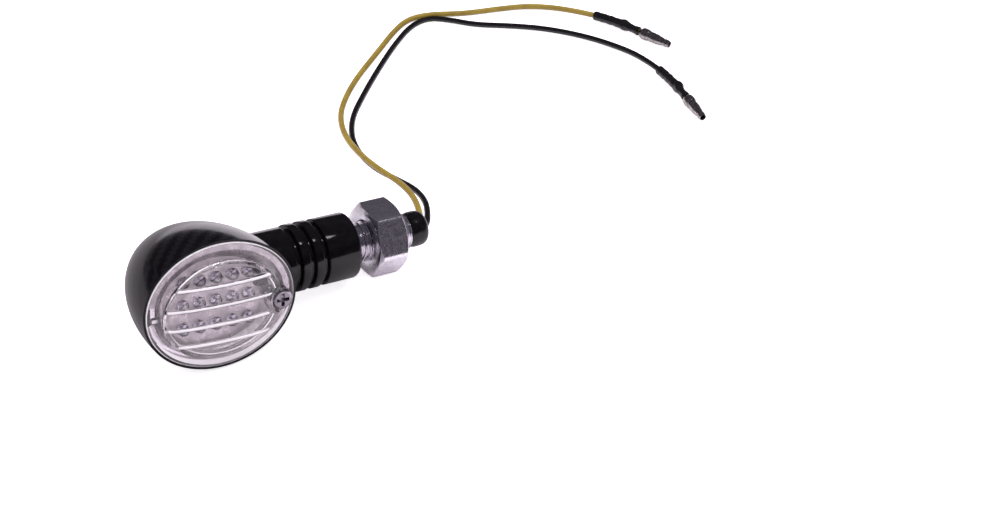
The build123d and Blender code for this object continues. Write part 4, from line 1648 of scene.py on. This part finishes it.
@dataclass
class LampArray:
    """Fifteen clear 3 mm lamps, each with its cup and post inside.

    Attributes:
        columns: Lamps along the lens.
        rows: Lamps up the lens.
        column_pitch: Distance between columns.
        row_pitch: Distance between rows.
        foot: Height of the board's front, where the lamps stand.
        radius: Radius of a lamp's body.
        collar_radius: Radius of its collar.
        collar_height: Height of its collar.
        height: Height over the board.
    """

    columns: int = 5
    rows: int = 3
    column_pitch: float = 4.2
    row_pitch: float = 6.0
    foot: float = -6.0
    radius: float = 1.5
    collar_radius: float = 1.9
    collar_height: float = 1.0
    height: float = 4.6

    def body(self) -> bmesh.types.BMesh:
        """Build one lamp's epoxy body standing on Z = foot.

        Returns:
            A closed mesh.
        """
        rows = [(0.0, self.collar_radius - 0.08), (0.08, self.collar_radius),
                (self.collar_height - 0.1, self.collar_radius),
                (self.collar_height, self.collar_radius - 0.1),
                (self.collar_height, self.radius + 0.03), (self.collar_height + 0.08, self.radius)]
        dome = self.height - self.radius
        rows += [(dome + self.radius * math.sin(turn), self.radius * math.cos(turn))
                 for turn in (math.pi / 2 * k / 9 for k in range(9))]
        return rings([oval((radius, radius), 0.0, self.foot + z, 28) for z, radius in rows],
                     loop=False)

    def frame(self) -> bmesh.types.BMesh:
        """Build one lamp's base, cup and post, clear of its skin.

        Returns:
            A mesh of three closed solids.
        """
        cup = [(0.28, 0.15), (0.28, 1.5), (0.42, 1.65), (0.72, 2.25), (0.66, 2.25), (0.38, 1.85)]
        rows = [oval((radius, radius), 0.0, self.foot + z, 20, (-0.3, 0.0)) for radius, z in cup]
        other = [oval((half, 0.26), 0.0, self.foot + z, 8, (0.72, 0.0))
                 for half, z in ((0.22, 0.15), (0.22, 1.7), (0.36, 1.9), (0.36, 2.2))]
        inside = self.radius - 0.08
        base = [oval((inside, inside), 0.0, self.foot + z, 24) for z in (0.03, 0.1)]
        return joined([rings(solid, loop=False) for solid in (rows, other, base)])

    def spread(self, name: str, bm: bmesh.types.BMesh, finish: Finish) -> bpy.types.Object:
        """Repeat one piece over the whole array.

        Args:
            name: Name of the finished piece.
            bm: One lamp's mesh.
            finish: Its finish.

        Returns:
            The finished object.
        """
        piece = raw_object(name, bm)
        run_tree(piece, grid_tree(finish), {
            "Columns": self.columns, "Rows": self.rows, "Column Pitch": self.column_pitch,
            "Row Pitch": self.row_pitch})
        return finish_object(piece, RIM.matrix(), sharp=50)

    def dress(self) -> None:
        """Put the lamps in the scene."""
        bodies = self.spread("lamp_bodies", self.body(), EPOXY)
        frames = self.spread("lamp_cups", self.frame(), LEAD_FRAME)
        for piece, slot in ((bodies, "led_epoxy"), (frames, "tinned_wire")):
            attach(piece, "head")
            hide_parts("leds")
        LOG.info("%d lamps", self.columns * self.rows)


def smooth(value: float, low: float, high: float) -> float:
    """Return 0 below low and 1 above high, with a soft slope between."""
    share = min(max((value - low) / (high - low), 0.0), 1.0)
    return share * share * (3 - 2 * share)


def oval(half: tuple[float, float], inset: float, z: float, steps: int,
         middle: tuple[float, float] = (0.0, 0.0)) -> list[Vector]:
    """Return the points of an oval at a height, drawn in by an inset.

    Args:
        half: Its half sizes.
        inset: How far it is drawn in.
        z: Its height.
        steps: Number of points.
        middle: Its middle.

    Returns:
        The points in order.
    """
    turns = [2 * math.pi * i / steps for i in range(steps)]
    return [Vector((middle[0] + (half[0] - inset) * math.cos(t),
                    middle[1] + (half[1] - inset) * math.sin(t), z)) for t in turns]


def post(middle: tuple[float, float], radius: float, low: float, high: float,
         steps: int) -> bpy.types.Object:
    """Build a plain round cutter between two heights."""
    rows = [oval((radius, radius), 0.0, z, steps, middle) for z in (low, high)]
    return raw_object("cutter", rings(rows, loop=False))


# ---- wires inside the stem ---------------------------------------------------------------
@dataclass
class InnerWire:
    """The run of a wire from the plug, through the stem, to the back of the board.

    Attributes:
        colour: Name of the wire.
        across: Millimetres from the stem's axis towards the lens.
        rise: Millimetres from the stem's axis up the lamp.
        joint: Where it is soldered, along and up the board.
        insulation: Its finish.
        start: Where it begins in the plug, from the shoulder.
        turn: Where it turns towards the board.
        board_back: Height of the board's back.
        over_board: Height of its turn behind the board.
        radius: Radius of the wire.
    """

    colour: str
    across: float
    rise: float
    joint: tuple[float, float]
    insulation: Finish
    start: float = 18.5
    turn: float = -37.15
    board_back: float = -7.2
    over_board: float = -11.4
    radius: float = 0.8

    def build(self) -> bpy.types.Object:
        """Sweep the wire along its run in short steps.

        Returns:
            The wire.
        """
        run = [STEM.at(x, self.rise, self.across) for x in (self.start, 0.0, -31.0, self.turn)]
        run += [RIM.at(*self.joint, z) for z in (self.over_board, self.board_back)]
        line = nurbs_line(run)
        path = tail(line, 0.999 * sum((b - a).length for a, b in zip(line, line[1:])), 90)
        rows = []
        for point, first, second in frames_along(path):
            rows.append([point + (first * math.cos(t) + second * math.sin(t)) * self.radius * MM
                         for t in (2 * math.pi * i / 14 for i in range(14))])
        return finish_mesh(f"{self.colour}_inner_lead", rings(rows, loop=False), Matrix())

    def dress(self) -> None:
        """Put the wire in the scene."""
        wire = self.build()
        dress(wire, self.insulation)
        STEM.at(-9.0, 0, 0)
        STEM.at(-19.0, 0, 0)
        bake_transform(wire)
        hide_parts(f"{self.colour}_wire_inner")
        LOG.info("%s inner wire", self.colour)


def nurbs_line(points: Sequence[Vector]) -> list[Vector]:
    """Return the smooth line that a spline draws with points as its control points.

    Args:
        points: Control points.

    Returns:
        Points of the line in order.
    """
    drawn = spline_through("line", points, resolution=12)
    curve = drawn.data
    line = read_line(drawn)
    bpy.data.objects.remove(drawn)
    bpy.data.curves.remove(curve)
    return line


# ---- studio ------------------------------------------------------------------------------
@dataclass
class Studio:
    """Table, soft light and camera.

    Attributes:
        floor_size: Side of the table in metres.
        room: Strength of the room's light low down and overhead.
        overhead: Watts of the soft box overhead.
        glow: Light that the table gives of itself.
        reflected_dark_reach: Where the painted dark reflection on the table begins and is whole,
        seen only in polished surfaces, and how much of the table's colour it takes away.
        horizon: Sine of elevation and colour of the room as polished surfaces see it.
        level: The same colour at the horizon.
        zenith: The same colour overhead.
        air: Colour of the room's light.
        climb: Sines of elevation where the room begins and ends to brighten.
        paper: Colour of the table.
        reflected_dark_colour: Colour of the black card.
        focal_length: The camera's, in millimetres.
        eye: The camera's place from the shoulder, in metres.
        heading: Where the camera looks.
        picture_right: Direction that lies level in the picture.
    """

    floor_size: float = 6.0
    room: tuple[float, float] = (0.55, 1.5)
    overhead: float = 7.0
    glow: float = 0.7
    reflected_dark_reach: tuple[float, float, float] = (0.032, -0.005, 0.6)
    horizon: tuple[tuple[float, tuple[float, float, float]], ...] = (
        (0.02, (0.16, 0.15, 0.165)), (0.10, (0.06, 0.055, 0.065)), (0.25, (0.045, 0.04, 0.05)),
        (0.60, (0.12, 0.112, 0.132)))
    level: tuple[float, float, float] = (0.22, 0.205, 0.225)
    zenith: tuple[float, float, float] = (0.10, 0.09, 0.11)
    air: tuple[float, float, float] = (1.0, 0.965, 0.995)
    climb: tuple[float, float] = (0.15, 0.75)
    paper: str = "#F3EDF4"
    reflected_dark_colour: str = "#2A282B"
    focal_length: float = 82.8
    eye: tuple[float, float, float] = (-0.20009, -0.40848, 0.34482)
    heading: tuple[float, float, float] = (0.4057, 0.6791, -0.6117)
    picture_right: tuple[float, float, float] = (0.8585, -0.5128, 0.0)

    def build(self) -> None:
        """Put up the table, the lights and the camera."""
        self.table()
        self.lights()
        self.camera()
        LOG.info("studio")

    def table(self) -> None:
        """Lay the plain pale table, with a painted dark reflection towards -X."""
        bm = bmesh.new()
        bmesh.ops.create_grid(bm, x_segments=1, y_segments=1, size=self.floor_size / 2)
        floor = finish_mesh("table", bm, Matrix.Translation((0, 0, -0.00002)))
        paper = bpy.data.materials.new("paper_white_matt")
        paper.use_nodes = True
        shader = paper.node_tree.nodes["Principled BSDF"]
        shader.inputs["Base Color"].default_value = linear(self.paper)
        shader.inputs["Roughness"].default_value = 0.9
        shader.inputs["Specular IOR Level"].default_value = 0.1
        shader.inputs["Emission Color"].default_value = (1.0, 1.0, 1.0, 1.0)
        tree = paper.node_tree
        ray = add_node(tree, "ShaderNodeLightPath")
        glow = calc(tree, "MULTIPLY", (ray, "Is Camera Ray"), self.glow)
        tree.links.new(glow[0].outputs[0], shader.inputs["Emission Strength"])
        # Painted dark reflection: towards -X the table's colour turns dark grey wherever polished
        # surfaces see it, so they mirror a dark table there.
        place = add_node(tree, "ShaderNodeTexCoord")
        across = add_node(tree, "ShaderNodeSeparateXYZ", inputs={0: (place, "Object")})
        side = soft_step(tree, (across, "X"), self.reflected_dark_reach[:2], (0.0, self.reflected_dark_reach[2]))
        share = calc(tree, "MULTIPLY", self.mirrored(tree, ray), side)
        shade = add_node(tree, "ShaderNodeMix", {"data_type": "RGBA"}, {
            "Factor": share, 6: linear(self.paper), 7: linear(self.reflected_dark_colour)})
        tree.links.new(shade.outputs[2], shader.inputs["Base Color"])
        floor.data.materials.append(paper)

    @staticmethod
    def mirrored(tree: bpy.types.NodeTree, ray: bpy.types.Node) -> tuple[bpy.types.Node, int]:
        """Return 1 where a polished surface, and no clear one, looks at the set."""
        straight = calc(tree, "SUBTRACT", 1.0, (ray, "Is Transmission Ray"))
        return calc(tree, "MULTIPLY", (ray, "Is Glossy Ray"), straight)

    def lights(self) -> None:
        """Light the set: a pale room, brighter overhead, and two soft boxes."""
        world = bpy.data.worlds.new("room")
        bpy.context.scene.world = world
        world.use_nodes = True
        tree = world.node_tree
        tree.nodes.clear()
        place = add_node(tree, "ShaderNodeTexCoord")
        height = add_node(tree, "ShaderNodeSeparateXYZ", inputs={0: (place, "Generated")})
        ramp = add_node(tree, "ShaderNodeValToRGB", inputs={"Fac": (height, "Z")})
        stops = ramp.color_ramp.elements
        stops[0].position, stops[0].color = 0.0, (*self.level, 1.0)
        stops[1].position, stops[1].color = 1.0, (*self.zenith, 1.0)
        for position, colour in self.horizon:
            stops.new(position).color = (*colour, 1.0)
        dim = add_node(tree, "ShaderNodeBackground", inputs={
            "Color": (ramp, "Color"), "Strength": 1.0})
        dome = soft_step(tree, (height, "Z"), self.climb, self.room)
        bright = add_node(tree, "ShaderNodeBackground", inputs={
            "Color": (*self.air, 1.0), "Strength": dome})
        ray = add_node(tree, "ShaderNodeLightPath")
        sky = add_node(tree, "ShaderNodeMixShader", inputs={
            0: self.mirrored(tree, ray), 1: (bright, "Background"), 2: (dim, "Background")})
        add_node(tree, "ShaderNodeOutputWorld", inputs={"Surface": (sky, "Shader")})
        self.soft_box("overhead", (0.1, -0.1, 1.5), 1.6, self.overhead, seen=False)
        self.soft_box("highlight", (0.62, -0.33, 1.30), 0.16, 0.8, seen=True)
        scene = bpy.context.scene
        scene.view_settings.view_transform = "Standard"
        scene.view_settings.look = "None"
        world.cycles.sampling_method = "NONE"

    def soft_box(self, name: str, place: tuple[float, float, float], size: float, watts: float,
                 seen: bool) -> None:
        """Hang a square soft box that looks at the lamp.

        Args:
            name: The light's name.
            place: Its middle in metres.
            size: Side in metres.
            watts: Power.
            seen: Whether it shows in glossy surfaces.
        """
        data = bpy.data.lights.new(name, "AREA")
        data.size = size
        data.energy = watts
        light = bpy.data.objects.new(name, data)
        light.location = place
        towards = Vector((0.03, 0.0, 0.01)) - Vector(place)
        light.rotation_euler = towards.to_track_quat("-Z", "Y").to_euler()
        light.visible_glossy = seen
        light.visible_transmission = seen
        bpy.context.scene.collection.objects.link(light)

    def camera(self) -> None:
        """Stand the camera above the lens's side, looking down the stem."""
        data = bpy.data.cameras.new("camera")
        data.lens = self.focal_length
        data.sensor_width = 36.0
        data.clip_start = 0.01
        right = Vector(self.picture_right).normalized()
        look = Vector(self.heading).normalized()
        up = right.cross(look)
        camera = bpy.data.objects.new("camera", data)
        middle = Vector(self.eye) + STEM.origin
        turn = Matrix((right, up, -look)).transposed().to_4x4()
        camera.matrix_world = Matrix.Translation(middle) @ turn
        bpy.context.scene.collection.objects.link(camera)
        bpy.context.scene.camera = camera


# Finishes of the nodes that show their own CAD shape.
CAD_FINISHES = {
    "housing": CARBON_FILM, "lens_gasket": GASKET, "lens_screw": NICKEL, "reflector": METALLISED,
    "led_board": BOARD, "led_leads": SOLDER, "solder_joints": SOLDER, "resistors": RESISTOR,
    "diode": DIODE, "board_screws": ZINC, "retaining_clip": ZINC,
}


def main() -> None:
    """Build the pieces in order."""
    logging.basicConfig(level=logging.INFO, format="%(name)s: %(message)s")
    Studio().build()
    for node, finish in CAD_FINISHES.items():
        dress(frame["nodes"][node], finish)
    Lead(Polarity.LIVE, 0.1935, 0.8, 0.9, 20.8, YELLOW_PVC).dress()
    Lead(Polarity.EARTH, 0.2145, -0.1, -0.9, 22.7, BLACK_PVC).dress()
    RubberStem().dress()
    ThreadedStud().dress()
    HexNut().dress()
    EndPlug().dress()
    LensCover().dress()
    ReflectorTrim().dress()
    LampArray().dress()
    InnerWire("yellow", 0.8, 0.9, (-2.1, 3.0), YELLOW_PVC).dress()
    InnerWire("black", -0.1, -0.9, (-2.1, -3.0), BLACK_PVC).dress()


if __name__ == "__main__":
    main()
